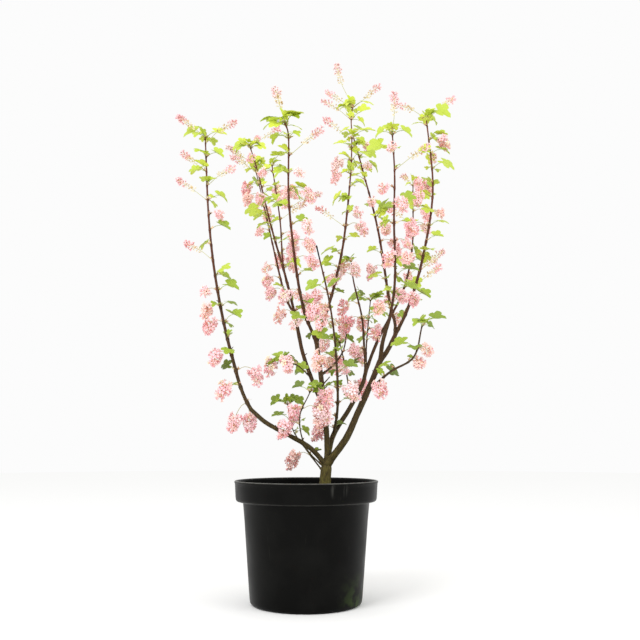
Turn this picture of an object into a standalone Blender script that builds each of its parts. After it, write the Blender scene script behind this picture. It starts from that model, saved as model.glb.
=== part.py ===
"""A flowering currant in a black nursery pot: pot, compost, trunk, boughs and flowering canes.

Metres, +Z up. The origin is the middle of the pot's flat underside, and -Y is the front.
"""
import math
import random

import bmesh
import bpy
from mathutils import Matrix, Vector

# Pot: a 20 litre round nursery pot with a deep collar.
POT_HEIGHT = 0.284
RIM_RADIUS = 0.1725
COLLAR_DEPTH = 0.049
COLLAR_TAPER = 0.0035
NECK_RADIUS = 0.151
FOOT_RADIUS = 0.1325
FOOT_ROUNDING = 0.010
WALL = 0.0024
STEP_ROUNDING = 0.002
POT_SIDES = 36

# Compost, pressed in to a little under the rim.
COMPOST_DROP = 0.035
COMPOST_LEVEL = POT_HEIGHT - COMPOST_DROP

# Pieces that touch in the real plant keep this much air between their solids.
GAP = 0.0003
SLEEVE = 0.0004

# Trunk: it stands off the pot's axis and flares where the roots begin.
TRUNK_FOOT = Vector((0.044, 0.0, COMPOST_LEVEL + GAP))
TRUNK_FORK = Vector((0.051, 0.0, 0.330))
TRUNK_RADIUS = 0.0135
FLARE_RADIUS = 0.0185
FLARE_HEIGHT = 0.022
# Shares of the trunk's height where it has a ring, and how its last two rings draw in to the fork.
TRUNK_RINGS = (0.0, 0.08, 0.17, 0.30, 0.45, 0.62, 0.80, 0.92, 1.0)
FORK_ROUNDING = (0.86, 0.45)

# Length of the straight steps that boughs and canes are drawn with, how many points find their
# curve between two way points, and the roundness of each kind of limb.
BOUGH_STEP = 0.032
CANE_STEP = 0.072
CURVE_POINTS = 16
TRUNK_ROUNDNESS = 4
BOUGH_ROUNDNESS = 2
CANE_ROUNDNESS = 1

# Buds sit along every cane at this spacing, the first one half a space up.
BUD_SPACING = 0.040
SEED = 11

# A limb is (name, bearer, where on the bearer, thickness at foot and tip in mm, way points).
# Boughs are the bare limbs between the trunk and the flowering canes.
BOUGHS = [
    ("bough_centre", "trunk", 0.85, (14, 11),
     [(0.050, -0.010, 0.370), (0.045, -0.020, 0.445), (0.035, -0.020, 0.535), (0.025, -0.020, 0.610)]),
    ("bough_right_outer", "trunk", 0.85, (18, 13),
     [(0.095, -0.030, 0.383), (0.121, -0.050, 0.440), (0.147, -0.060, 0.497), (0.176, -0.060, 0.565)]),
    ("bough_right_inner", "trunk", 0.85, (14, 10),
     [(0.065, 0.020, 0.390), (0.105, 0.040, 0.455), (0.138, 0.050, 0.515), (0.147, 0.050, 0.545)]),
    ("bough_left", "trunk", 0.80, (12, 10),
     [(0.010, -0.010, 0.360), (-0.040, -0.025, 0.390), (-0.095, -0.040, 0.420), (-0.130, -0.050, 0.450)]),
    ("bough_centre_back", "bough_centre", 0.46, (11, 9),
     [(0.020, 0.020, 0.510), (-0.010, 0.060, 0.595), (-0.030, 0.090, 0.690)]),
    ("bough_far_right", "bough_right_outer", 1.0, (12, 10),
     [(0.195, -0.060, 0.592), (0.213, -0.050, 0.627)]),
    ("bough_upper_right", "bough_right_outer", 1.0, (11, 8),
     [(0.180, -0.090, 0.605), (0.195, -0.120, 0.660)]),
    ("bough_upper_inner", "bough_right_inner", 1.0, (9, 7),
     [(0.180, 0.080, 0.630), (0.215, 0.100, 0.695)]),
]

# Canes carry the leaves and blossom. After the way points comes what each bud bears, from the
# foot up, and last the tip: a compass side (w, e, s for the front, n), then F or f for a full or
# a small hanging raceme, D for one on a drooping stalk, E for a long rising one, T for the steep one at a tip, L for a tuft of
# leaves and l for one leaf. A dash is a bare bud.
CANES = [
    ("cane_left", "bough_left", 1.0, (9.5, 3.6),
     [(-0.180, -0.055, 0.585), (-0.220, -0.050, 0.760), (-0.245, -0.030, 0.935), (-0.262, 0.000, 1.150)],
     "wDeD wF wleF wFsl nl wFeL wFel wfel eL wE wl el ef eLwE eE wEwL elsl eE wEeLwL"),
    ("cane_centre_front", "bough_centre", 1.0, (9, 3.4),
     [(-0.005, -0.060, 0.685), (-0.025, -0.110, 0.790), (-0.040, -0.160, 0.935), (-0.040, -0.190, 1.070),
      (-0.048, -0.200, 1.105)],
     "eEnl wfsL eF wF el eF eFwlnF eFel wleE eFeLnf wLef eE wLel wLeL wtelwL"),
    ("cane_centre_back", "bough_centre", 1.0, (9, 3.4),
     [(0.045, 0.000, 0.680), (0.070, 0.030, 0.770), (0.095, 0.060, 0.895), (0.115, 0.100, 1.085),
      (0.120, 0.120, 1.195)],
     "wf eLsF wF wFnl sfwl wLeF wL el wEeF ef wL el wFsl wFeL wLel wEeL"),
    ("cane_left_inner", "bough_centre_back", 1.0, (8, 3.2),
     [(-0.055, 0.100, 0.795), (-0.095, 0.120, 0.935), (-0.135, 0.130, 1.095), (-0.160, 0.140, 1.180)],
     "eF eF - ef nF sl wl wL sFel eF wE sf wLel wLnEeE"),
    ("cane_left_back", "bough_centre_back", 1.0, (7, 3.0),
     [(-0.060, 0.130, 0.760), (-0.090, 0.180, 0.880), (-0.130, 0.235, 1.055), (-0.155, 0.260, 1.160)],
     "wF nl wF wF wf nF - wf wl wfnF wFel wFnL wE wEelnL"),
    ("cane_left_middle", "bough_centre_back", 1.0, (6, 3.0),
     [(-0.045, 0.078, 0.750), (-0.062, 0.052, 0.825), (-0.070, 0.030, 0.940), (-0.090, 0.000, 1.075)],
     "- ef - el ef eF eE wLsF eF wf eL"),
    ("cane_far_right", "bough_far_right", 1.0, (9, 3.6),
     [(0.250, -0.040, 0.705), (0.290, -0.020, 0.835), (0.320, 0.000, 1.010), (0.310, 0.020, 1.210)],
     "- nl sFeL eE eE wFnl el elwF wLef wF wF eL eLnf eleF wl wEeLnleE"),
    ("cane_top", "bough_far_right", 1.0, (8, 3.4),
     [(0.205, 0.020, 0.740), (0.185, 0.100, 0.940), (0.145, 0.160, 1.140), (0.122, 0.180, 1.245),
      (0.125, 0.190, 1.320)],
     "- ef wf eF wl eLwF wl eF sF eL sf - wl eLsf el eF wlnL eLwE wlwEeEeL wTnL"),
    ("cane_right_front", "bough_upper_right", 1.0, (7, 3.2),
     [(0.205, -0.160, 0.745), (0.200, -0.210, 0.870), (0.200, -0.240, 0.965), (0.195, -0.250, 1.065)],
     "wf eL eL efsF ef eFwl wleLsF wf eE wLsf wLel sE"),
    ("cane_right_back", "bough_upper_inner", 1.0, (6.5, 3.0),
     [(0.255, 0.130, 0.775), (0.285, 0.170, 0.900), (0.295, 0.210, 1.090)],
     "- wf eL eEnf el wFnl el wEeF eF eL eLeFnE"),
    ("cane_inner", "bough_right_inner", 1.0, (7, 3.4),
     [(0.145, 0.050, 0.605), (0.140, 0.060, 0.690), (0.120, 0.070, 0.785), (0.115, 0.080, 0.840)],
     "wl wf ef wFeL wF eL wFeF wFnL"),
    ("cane_inner_back", "bough_right_inner", 1.0, (5, 3.0),
     [(0.152, 0.085, 0.615), (0.160, 0.130, 0.680), (0.170, 0.180, 0.755)],
     "- - el ef eLnF elwL"),
    ("cane_dead", "bough_right_inner", 0.30, (8, 4.6),
     [(0.075, -0.050, 0.465), (0.070, -0.110, 0.580), (0.055, -0.150, 0.690), (0.025, -0.170, 0.820)],
     "wF wF wFel wleF el wF wL wf wF wl - -"),
    ("cane_low_right", "bough_right_outer", 0.72, (7, 3.4),
     [(0.195, -0.110, 0.535), (0.245, -0.160, 0.565), (0.260, -0.200, 0.630)],
     "sFwf nl wl ef wLef eL"),
    ("twig_cross", "bough_centre", 0.74, (6, 3.0),
     [(0.070, 0.050, 0.570), (0.095, 0.100, 0.615), (0.105, 0.140, 0.680)],
     "- ef nF eF - eF"),
    ("twig_low_front", "trunk", 0.72, (4.4, 2.6),
     [(0.000, -0.030, 0.360), (-0.015, -0.070, 0.430), (0.010, -0.100, 0.490)],
     "- - - nF nFeF wleF"),
    ("twig_low_back", "trunk", 0.60, (4.4, 2.6),
     [(0.000, 0.030, 0.355), (-0.035, 0.070, 0.405), (-0.050, 0.100, 0.470)],
     "- wF - el wl wlel"),
    ("twig_middle", "bough_right_inner", 0.66, (5, 3.0),
     [(0.105, 0.070, 0.520), (0.095, 0.110, 0.585), (0.085, 0.140, 0.635)],
     "- eF eL wF wFel"),
    ("twig_left", "bough_centre_back", 0.36, (3.4, 2.4),
     [(-0.022, -0.005, 0.560), (-0.058, -0.030, 0.565)],
     "nl wl wFsFnL"),
]

SIDES = {"e": 0.0, "n": 90.0, "w": 180.0, "s": 270.0}

# Hanging and rising racemes: reach of the stalk, rise of the stalk, length and radius of the
# head, and the head's slope in degrees (down is negative).
RACEMES = {
    "F": (0.036, 0.004, 0.048, 0.0170, -58.0),
    "f": (0.024, 0.006, 0.034, 0.0120, -45.0),
    "D": (0.030, -0.030, 0.046, 0.0165, -72.0),
    "E": (0.030, 0.024, 0.068, 0.0085, 38.0),
    "T": (0.032, 0.068, 0.078, 0.0100, 63.0),
    "t": (0.012, 0.042, 0.062, 0.0100, 74.0),
}
# A head's form has a ring at the stalk's root and rings at these shares of its length below the
# neck, each with a few sides whose corners are knocked in or out by the seeded draws.
HEAD_SIDES = 4
HEAD_DEPTHS = {"F": (None, 0.0, 0.22, 0.72), "f": (None, 0.0, 0.40), "D": (None, 0.0, 0.22, 0.72),
               "E": (None, 0.0, 0.35), "T": (None, 0.0, 0.35), "t": (None, 0.0, 0.35)}
KNOBBLE = 0.34
ROOT_DEPTH = 0.002
STALK_RADIUS = 0.0013
# How far the draws change a raceme: its least size, the spread of sizes, and the spread of its
# heading and slope in degrees.
RACEME_LEAST = 0.88
RACEME_SPREAD = 0.24
HEAD_SWING = 30
HEAD_TILT = 24
HEAD_BALLS = (0.25, 0.55, 0.85)

# The length of each leaf of a tuft. A leaf is three lobes on a petiole; the outline runs from
# one side of its base round the tip to the other, as shares of the length along and aside.
TUFTS = {"L": (0.046, 0.031), "l": (0.037,)}
LEAF_OUTLINE = ((0.00, -0.05), (0.40, -0.54), (0.60, -0.26), (1.00, 0.00),
                (0.60, 0.26), (0.40, 0.54), (0.00, 0.05))
LEAF_MIDDLE = 0.36
LEAF_THICKNESS = 0.016
PETIOLE = 0.62
# How far the draws change a leaf: its least size and the spread of sizes, the degrees between
# the leaves of one tuft and how far each swings, the rise of its petiole, and its blade's own
# swing, slope and roll.
LEAF_LEAST = 0.85
LEAF_SPREAD = 0.30
TUFT_START = -20
TUFT_STEP = 70
LEAF_SWING = 40
PETIOLE_RISE = 40
PETIOLE_DROOP = 25
BLADE_SWING = 30
BLADE_SLOPE = 8
BLADE_DROOP = 40
BLADE_ROLL = 50
BLADE_SPACE = 0.46
# Blades turn their upper face towards the light, which falls from the front and above.
LIGHT = Vector((0.0, -0.75, 0.66))

# An organ that reaches another limb's or mass's space is turned by each of these angles, and then
# left out. Spaces are balls: along limbs, along stalks past their start, and in heads and blades.
TURNS = (0.0, 35.0, -35.0, 75.0, -75.0)
BUD_SWING = 50
DRAWS = 6
LIMB_BALLS = 5
LIMB_SPACE = 0.006
STALK_SPACE = 0.002
STALK_BALL_STEP = 0.006
STALK_START = 0.35
# Shares of a cane's length: where its tip's organs sit, and the furthest place of other buds.
TIP_BUD = 0.995
LAST_BUD = 0.985


def material(name, colour, roughness):
    """A plain Principled material in one colour."""
    made = bpy.data.materials.new(name)
    made.use_nodes = True
    shader = made.node_tree.nodes["Principled BSDF"]
    shader.inputs["Base Color"].default_value = (*colour, 1.0)
    shader.inputs["Roughness"].default_value = roughness
    shader.inputs["Metallic"].default_value = 0.0
    return made


def add_object(name, mesh, collection, colouring=None):
    """A new object of a mesh in a collection, with its material."""
    made = bpy.data.objects.new(name, mesh)
    collection.objects.link(made)
    if colouring:
        mesh.materials.clear()
        mesh.materials.append(colouring)
    return made


def turned(name, profile, collection, colouring):
    """A body turned about Z from an (radius, height) profile that ends on the axis."""
    mesh = bpy.data.meshes.new(name)
    points = [(radius, 0.0, height) for radius, height in profile]
    mesh.from_pydata(points, [(i, i + 1) for i in range(len(points) - 1)], [])
    body = add_object(name, mesh, collection, colouring)
    screw = body.modifiers.new("turn", "SCREW")
    screw.steps = POT_SIDES
    screw.render_steps = POT_SIDES
    screw.use_merge_vertices = True
    screw.merge_threshold = 0.00001
    screw.use_smooth_shade = True
    return body


def inner_wall(clear):
    """The pot's inside from under the rim down to its floor, moved in by a clearance."""
    step = POT_HEIGHT - COLLAR_DEPTH
    foot = FOOT_RADIUS - WALL - clear
    return [
        (RIM_RADIUS - COLLAR_TAPER - WALL - clear, step + WALL + clear),
        (NECK_RADIUS - WALL - clear, step + WALL + clear - STEP_ROUNDING),
        (foot, FOOT_ROUNDING),
        (foot - FOOT_ROUNDING + WALL, WALL + clear),
        (0.0, WALL + clear),
    ]


def build_pot(collection, colouring):
    """The pot: thin wall, stepped collar, rounded rim and foot, and a flat underside."""
    step = POT_HEIGHT - COLLAR_DEPTH
    lip = WALL / 2
    inside = inner_wall(0.0)
    profile = list(reversed(inside))
    profile += [
        (RIM_RADIUS - WALL, POT_HEIGHT - lip),
        (RIM_RADIUS - lip, POT_HEIGHT),
        (RIM_RADIUS, POT_HEIGHT - lip),
        (RIM_RADIUS - COLLAR_TAPER, step + STEP_ROUNDING),
        (RIM_RADIUS - COLLAR_TAPER - STEP_ROUNDING, step),
        (NECK_RADIUS, step - STEP_ROUNDING),
        (FOOT_RADIUS, FOOT_ROUNDING),
    ]
    for turn in (30.0, 60.0, 90.0):
        angle = math.radians(turn)
        profile.append((FOOT_RADIUS - FOOT_ROUNDING * (1 - math.cos(angle)),
                        FOOT_ROUNDING * (1 - math.sin(angle))))
    profile.append((0.0, 0.0))
    return turned("pot", profile, collection, colouring)


def build_compost(collection, colouring):
    """The compost fills the pot to its level, just clear of the wall."""
    wall = inner_wall(GAP)
    rim = (RIM_RADIUS - WALL - GAP, POT_HEIGHT)
    step = wall[0]
    along = (COMPOST_LEVEL - step[1]) / (rim[1] - step[1])
    edge = step[0] + (rim[0] - step[0]) * along
    profile = [(0.0, COMPOST_LEVEL), (edge, COMPOST_LEVEL)] + wall
    return turned("compost", profile, collection, colouring)


def smooth_path(points, spacing):
    """Evenly spaced points on the smooth curve through some way points."""
    points = [Vector(point) for point in points]
    ends = [2 * points[0] - points[1]] + points + [2 * points[-1] - points[-2]]
    fine = []
    for a, b, c, d in zip(ends, ends[1:], ends[2:], ends[3:]):
        for i in range(CURVE_POINTS):
            t = i / CURVE_POINTS
            fine.append(0.5 * (2 * b + (c - a) * t + (2 * a - 5 * b + 4 * c - d) * t * t
                               + (3 * b - a - 3 * c + d) * t ** 3))
    fine.append(points[-1])
    lengths = [0.0]
    for a, b in zip(fine, fine[1:]):
        lengths.append(lengths[-1] + (b - a).length)
    count = max(2, round(lengths[-1] / spacing))
    path = []
    for i in range(count + 1):
        wanted = lengths[-1] * i / count
        j = next(k for k in range(1, len(lengths)) if lengths[k] >= wanted - 1e-9)
        share = (wanted - lengths[j - 1]) / (lengths[j] - lengths[j - 1])
        path.append(fine[j - 1].lerp(fine[j], share))
    return path


def point_along(path, share):
    """The point at a share of the way along a path of even steps."""
    place = share * (len(path) - 1)
    low = min(int(place), len(path) - 2)
    return path[low].lerp(path[low + 1], place - low)


def tube(name, path, radii, collection, resolution):
    """A tapering tube along a path, as one closed mesh."""
    curve = bpy.data.curves.new(name, "CURVE")
    curve.dimensions = "3D"
    curve.bevel_depth = 1.0
    curve.bevel_resolution = resolution
    curve.use_fill_caps = True
    spline = curve.splines.new("POLY")
    spline.points.add(len(path) - 1)
    for point, place, radius in zip(spline.points, path, radii):
        point.co = (*place, 1.0)
        point.radius = radius
    rod = bpy.data.objects.new(name, curve)
    bpy.context.scene.collection.objects.link(rod)
    bpy.context.view_layer.update()
    evaluated = rod.evaluated_get(bpy.context.evaluated_depsgraph_get())
    mesh = bpy.data.meshes.new_from_object(evaluated)
    bpy.data.objects.remove(rod)
    bpy.data.curves.remove(curve)
    form = bmesh.new()
    form.from_mesh(mesh)
    bmesh.ops.remove_doubles(form, verts=form.verts, dist=0.00001)
    bmesh.ops.triangulate(form, faces=form.faces)
    form.to_mesh(mesh)
    form.free()
    return add_object(name, mesh, collection)


def add_sleeve(name, path, radii, sleeves, resolution):
    """A slightly thicker copy of a limb, which later pieces are cut clear with."""
    first = (path[0] - path[1]).normalized() * SLEEVE
    last = (path[-1] - path[-2]).normalized() * SLEEVE
    longer = [path[0] + first] + path[1:-1] + [path[-1] + last]
    sleeve = tube("sleeve_" + name, longer, [r + SLEEVE for r in radii], sleeves, resolution)
    sleeve.hide_render = True
    sleeve.display_type = "WIRE"


def combine(body, others, operation):
    """One Boolean of a body with a whole collection, applied."""
    modifier = body.modifiers.new("join", "BOOLEAN")
    modifier.operation = operation
    modifier.operand_type = "COLLECTION"
    modifier.collection = others
    modifier.solver = "EXACT"
    modifier.use_self = True
    bpy.context.view_layer.update()
    evaluated = body.evaluated_get(bpy.context.evaluated_depsgraph_get())
    mesh = bpy.data.meshes.new_from_object(evaluated)
    body.modifiers.clear()
    body.data = mesh


def keep_largest(body):
    """Drop scraps and sealed hollows, so that the body is one closed shell."""
    form = bmesh.new()
    form.from_mesh(body.data)
    bmesh.ops.triangulate(form, faces=form.faces)
    unseen = set(form.verts)
    shells = []
    while unseen:
        shell = {unseen.pop()}
        edge = list(shell)
        while edge:
            vert = edge.pop()
            for link in vert.link_edges:
                other = link.other_vert(vert)
                if other not in shell:
                    shell.add(other)
                    edge.append(other)
        unseen -= shell
        shells.append(shell)
    shells.sort(key=len)
    for shell in shells[:-1]:
        bmesh.ops.delete(form, geom=list(shell), context="VERTS")
    form.to_mesh(body.data)
    form.free()


def tapers(path, foot, tip):
    """Radii for a path from a foot and a tip thickness in millimetres."""
    last = len(path) - 1
    return [(foot + (tip - foot) * i / last) / 2000 for i in range(last + 1)]


def heading(azimuth, slope):
    """A unit direction from a compass angle and a slope, in degrees."""
    azimuth = math.radians(azimuth)
    slope = math.radians(slope)
    flat = math.cos(slope)
    return Vector((math.cos(azimuth) * flat, math.sin(azimuth) * flat, math.sin(slope)))


def clear_of(claims, owner, balls):
    """True where no ball of a new organ reaches another limb's or mass's space."""
    for centre, radius in balls:
        for other, place, size in claims:
            if other != owner and (centre - place).length < radius + size + GAP:
                return False
    return True


def stalk_balls(start, end):
    """Small balls along a stalk, without the first stretch beside its own limb."""
    count = max(2, int((end - start).length / STALK_BALL_STEP))
    return [(start.lerp(end, i / count), STALK_SPACE) for i in range(count + 1)
            if i / count > STALK_START]


def grow_raceme(bud, azimuth, kind, draws):
    """A raceme at a bud: where its stalk runs and how its head lies."""
    reach, rise, length, radius, slope = RACEMES[kind]
    size = RACEME_LEAST + RACEME_SPREAD * draws[0]
    out = heading(azimuth, 0.0)
    neck = bud + out * reach * size + Vector((0, 0, rise * size))
    axis = heading(azimuth + HEAD_SWING * (draws[1] - 0.5), slope + HEAD_TILT * (draws[2] - 0.5))
    middle = neck + axis * length * size * 0.5
    balls = stalk_balls(bud, neck)
    balls += [(neck + axis * length * size * share, radius * size) for share in HEAD_BALLS]
    return {"form": "raceme", "kind": kind, "bud": bud, "neck": neck, "axis": axis, "middle": middle,
            "length": length * size, "radius": radius * size, "balls": balls}


def grow_leaf(bud, azimuth, length, order, draws):
    """A leaf at a bud: its petiole, and the way its blade points and faces."""
    size = length * (LEAF_LEAST + LEAF_SPREAD * draws[0])
    fan = azimuth + TUFT_START + TUFT_STEP * order + LEAF_SWING * (draws[1] - 0.5)
    base = bud + heading(fan, PETIOLE_RISE - PETIOLE_DROOP * order) * size * PETIOLE
    axis = heading(fan + BLADE_SWING * (draws[2] - 0.5), BLADE_SLOPE - BLADE_DROOP * draws[3])
    side = axis.cross(LIGHT).normalized()
    roll = math.radians(BLADE_ROLL * (draws[4] - 0.5))
    face = Matrix.Rotation(roll, 3, axis) @ side.cross(axis)
    middle = base + axis * size * LEAF_MIDDLE
    balls = stalk_balls(bud, base) + [(middle, size * BLADE_SPACE)]
    return {"form": "leaf", "bud": bud, "base": base, "axis": axis, "face": face, "middle": middle,
            "size": size, "balls": balls}


def grow_cane(name, path, plan, claims, rng):
    """All that a cane bears: each bud's organs, turned until clear of others or left out."""
    tokens = plan.split()
    count = len(path) - 1
    length = sum((b - a).length for a, b in zip(path, path[1:]))
    organs = []
    for number, token in enumerate(tokens):
        is_tip = number == len(tokens) - 1
        share = TIP_BUD if is_tip else min(LAST_BUD, (number + 0.5) * BUD_SPACING / length)
        bud = point_along(path, share)
        for side, kind in zip(token[0::2], token[1::2]):
            for order, leaf in enumerate(TUFTS.get(kind, (0.0,))):
                draws = [rng.random() for _ in range(DRAWS)]
                for turn in TURNS:
                    azimuth = SIDES[side] + BUD_SWING * (draws[5] - 0.5) + turn
                    if kind in TUFTS:
                        organ = grow_leaf(bud, azimuth, leaf, order, draws)
                    else:
                        organ = grow_raceme(bud, azimuth, kind, draws)
                    if clear_of(claims, name, organ["balls"]):
                        claims += [(name, centre, radius) for centre, radius in organ["balls"]]
                        organs.append(organ)
                        break
    return organs


def root_of(organ, end):
    """Where a stalk starts: a little past the cane's middle, so that it is sunk well in."""
    return organ["bud"] - (end - organ["bud"]).normalized() * ROOT_DEPTH


def add_head(name, organ, collection, rng):
    """A raceme on its stalk: rings for the stalk's root and neck, then a knobbly head."""
    form = bmesh.new()
    depths = HEAD_DEPTHS[organ["kind"]]
    rings = len(depths)
    bmesh.ops.create_uvsphere(form, u_segments=HEAD_SIDES, v_segments=rings + 1, radius=1.0)
    turn = (-organ["axis"]).to_track_quat("Z", "Y").to_matrix()
    root = root_of(organ, organ["neck"])
    for vert in form.verts:
        row = round(math.acos(max(-1.0, min(1.0, vert.co.z))) / math.pi * (rings + 1))
        out = Vector((vert.co.x, vert.co.y, 0.0)).normalized() if 0 < row <= rings else Vector()
        if row <= 1:
            centre = root.lerp(organ["bud"], row)
            radius = STALK_RADIUS
        else:
            depth = depths[row - 1] if row <= rings else 1.0
            centre = organ["neck"] + organ["axis"] * organ["length"] * depth
            knob = 1.0 + KNOBBLE * (rng.random() - 0.5)
            radius = organ["radius"] * knob if row > 2 else STALK_RADIUS
        vert.co = centre + turn @ out * radius
    finish(name, form, collection)


def add_blade(name, organ, collection):
    """A leaf: a thin three-lobed lens, and a petiole that spreads under it as its midrib."""
    form = bmesh.new()
    across = organ["face"].cross(organ["axis"]).normalized()
    rim = [form.verts.new(organ["base"] + (organ["axis"] * along + across * aside) * organ["size"])
           for along, aside in LEAF_OUTLINE]
    swell = organ["face"] * LEAF_THICKNESS * organ["size"]
    top = form.verts.new(organ["middle"] + swell)
    under = form.verts.new(organ["middle"] - swell)
    root = form.verts.new(root_of(organ, organ["base"]))
    for a, b in zip(rim, rim[1:]):
        form.faces.new((top, a, b))
        form.faces.new((under, b, a))
    form.faces.new((top, rim[-1], rim[0]))
    for a, b in ((rim[0], under), (under, rim[-1]), (rim[-1], rim[0])):
        form.faces.new((root, b, a))
    finish(name, form, collection)


def finish(name, form, collection):
    """Turn a form's faces outward and make it an object."""
    bmesh.ops.recalc_face_normals(form, faces=form.faces)
    mesh = bpy.data.meshes.new(name)
    form.to_mesh(mesh)
    form.free()
    add_object(name, mesh, collection)


def build_mass(name, stem, organs, rng):
    """Fuse a cane and all its organs into one solid."""
    pieces = bpy.data.collections.new(name + "_organs")
    bpy.context.scene.collection.children.link(pieces)
    for number, organ in enumerate(organs):
        label = f"{name}_{number}"
        if organ["form"] == "leaf":
            add_blade(label, organ, pieces)
        else:
            add_head(label, organ, pieces, rng)
    combine(stem, pieces, "UNION")
    for piece in list(pieces.objects):
        bpy.data.objects.remove(piece)
    bpy.data.collections.remove(pieces)


for old in list(bpy.data.objects):
    bpy.data.objects.remove(old)

plant = bpy.data.collections.new("flowering_currant")
bpy.context.scene.collection.children.link(plant)
sleeves = bpy.data.collections.new("sleeves")
bpy.context.scene.collection.children.link(sleeves)

black_plastic = material("black_plastic", (0.012, 0.012, 0.011), 0.45)
moist_compost = material("moist_compost", (0.035, 0.022, 0.014), 0.95)
old_bark = material("old_bark", (0.085, 0.065, 0.030), 0.85)
blossom_and_leaf = material("blossom_and_leaf", (0.55, 0.50, 0.25), 0.70)

build_pot(plant, black_plastic)
build_compost(plant, moist_compost)

rise = TRUNK_FORK - TRUNK_FOOT
trunk_path = [TRUNK_FOOT + Vector((rise.x * share * share, 0.0, rise.z * share))
              for share in TRUNK_RINGS]
trunk_radii = []
for place in trunk_path:
    height = (place.z - TRUNK_FOOT.z) / FLARE_HEIGHT
    flare = (FLARE_RADIUS - TRUNK_RADIUS) * max(0.0, 1.0 - height) ** 2
    trunk_radii.append(TRUNK_RADIUS + flare)
trunk_radii[-2] *= FORK_ROUNDING[0]
trunk_radii[-1] *= FORK_ROUNDING[1]
trunk = tube("trunk", trunk_path, trunk_radii, plant, TRUNK_ROUNDNESS)
trunk.data.materials.append(old_bark)
add_sleeve("trunk", trunk_path, trunk_radii, sleeves, TRUNK_ROUNDNESS)

paths = {"trunk": trunk_path}
for name, bearer, where, (foot, tip), points in BOUGHS:
    start = point_along(paths[bearer], where)
    path = smooth_path([start] + points, BOUGH_STEP)
    radii = tapers(path, foot, tip)
    bough = tube(name, path, radii, plant, BOUGH_ROUNDNESS)
    combine(bough, sleeves, "DIFFERENCE")
    keep_largest(bough)
    bough.data.materials.clear()
    bough.data.materials.append(old_bark)
    add_sleeve(name, path, radii, sleeves, BOUGH_ROUNDNESS)
    paths[name] = path

claims = []
for name, bearer, where, thickness, points, buds in CANES:
    start = point_along(paths[bearer], where)
    paths[name] = smooth_path([start] + points, CANE_STEP)
for name, path in paths.items():
    for a, b in zip(path, path[1:]):
        claims += [(name, a.lerp(b, i / LIMB_BALLS), LIMB_SPACE) for i in range(LIMB_BALLS)]

for number, (name, bearer, where, (foot, tip), points, buds) in enumerate(CANES):
    rng = random.Random(SEED * 100 + number)
    path = paths[name]
    radii = tapers(path, foot, tip)
    organs = grow_cane(name, path, buds, claims, rng)
    cane = tube(name, path, radii, plant, CANE_ROUNDNESS)
    build_mass(name, cane, organs, rng)
    combine(cane, sleeves, "DIFFERENCE")
    keep_largest(cane)
    cane.data.materials.clear()
    cane.data.materials.append(blossom_and_leaf)
    add_sleeve(name, path, radii, sleeves, CANE_ROUNDNESS)
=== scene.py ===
"""A flowering currant in a black nursery pot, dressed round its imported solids."""
import math
import random

import bmesh
import bpy
import numpy
from mathutils import Matrix, Vector, noise


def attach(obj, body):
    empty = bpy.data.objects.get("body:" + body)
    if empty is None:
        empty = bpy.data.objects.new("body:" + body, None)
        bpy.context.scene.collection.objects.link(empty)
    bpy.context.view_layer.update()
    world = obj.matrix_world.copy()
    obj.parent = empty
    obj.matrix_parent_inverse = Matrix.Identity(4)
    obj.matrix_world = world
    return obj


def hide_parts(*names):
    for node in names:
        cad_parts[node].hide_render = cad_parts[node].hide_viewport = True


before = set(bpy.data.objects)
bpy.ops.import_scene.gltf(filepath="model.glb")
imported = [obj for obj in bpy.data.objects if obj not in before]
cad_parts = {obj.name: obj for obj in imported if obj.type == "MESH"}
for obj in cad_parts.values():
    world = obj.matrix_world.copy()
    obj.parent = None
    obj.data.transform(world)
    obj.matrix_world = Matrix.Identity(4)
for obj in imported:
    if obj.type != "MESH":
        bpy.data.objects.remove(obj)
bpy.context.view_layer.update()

# ---------------------------------------------------------------------------------------------
# The pot is a 20 litre round nursery pot, injection moulded in black polypropylene. It has a
# deep collar to lift it by, a rolled rim and lip, and a flat foot. Its profile is spun round.
MM = 0.001
POT_HEIGHT = 0.284
RIM_RADIUS = 0.1725
COLLAR_DEPTH = 0.049
NECK_RADIUS = 0.151
FOOT_RADIUS = 0.1325
FOOT_ROUNDING = 0.010
WALL = 0.0024
COMPOST_LEVEL = 0.249
POT_SIDES = 144


def linear(colour):
    """The linear colour of an sRGB hex value, with its alpha."""
    shares = [int(colour[i:i + 2], 16) / 255 for i in (1, 3, 5)]
    return tuple(c / 12.92 if c <= 0.04045 else ((c + 0.055) / 1.055) ** 2.4
                 for c in shares) + (1.0,)


def add_node(tree, kind, settings, inputs):
    """Add a shader node, with its settings and its inputs' values or links, and give its output."""
    made = tree.nodes.new("ShaderNode" + kind)
    for key, value in settings.items():
        setattr(made, key, value)
    for key, value in inputs.items():
        if isinstance(value, bpy.types.NodeSocket):
            tree.links.new(value, made.inputs[key])
        else:
            made.inputs[key].default_value = value
    return next(socket for socket in made.outputs if socket.enabled)


def place_on(tree, kind="Object"):
    """Each surface point's place, in metres or in the piece's own UV map."""
    return add_node(tree, "TexCoord", {}, {}).node.outputs[kind]


def noise_over(tree, place, scale, detail=2.0, roughness=0.5):
    """Noise from 0 to 1 over a surface."""
    return add_node(tree, "TexNoise", {}, {"Vector": place, "Scale": scale, "Detail": detail,
                                           "Roughness": roughness})


def spread(tree, value, low, high, top=1.0, bottom=0.0):
    """A value's range from low to high, spread from bottom to top and held beyond."""
    return add_node(tree, "MapRange", {}, {"Value": value, "From Min": low, "From Max": high,
                                           "To Min": bottom, "To Max": top})


def worked(tree, operation, *values):
    """The result of an operation on some values."""
    return add_node(tree, "Math", {"operation": operation}, dict(enumerate(values)))


def laid_over(tree, share, under, over):
    """One colour laid over another by a share."""
    return add_node(tree, "Mix", {"data_type": "RGBA"}, {"Factor": share, "A": under, "B": over})


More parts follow.
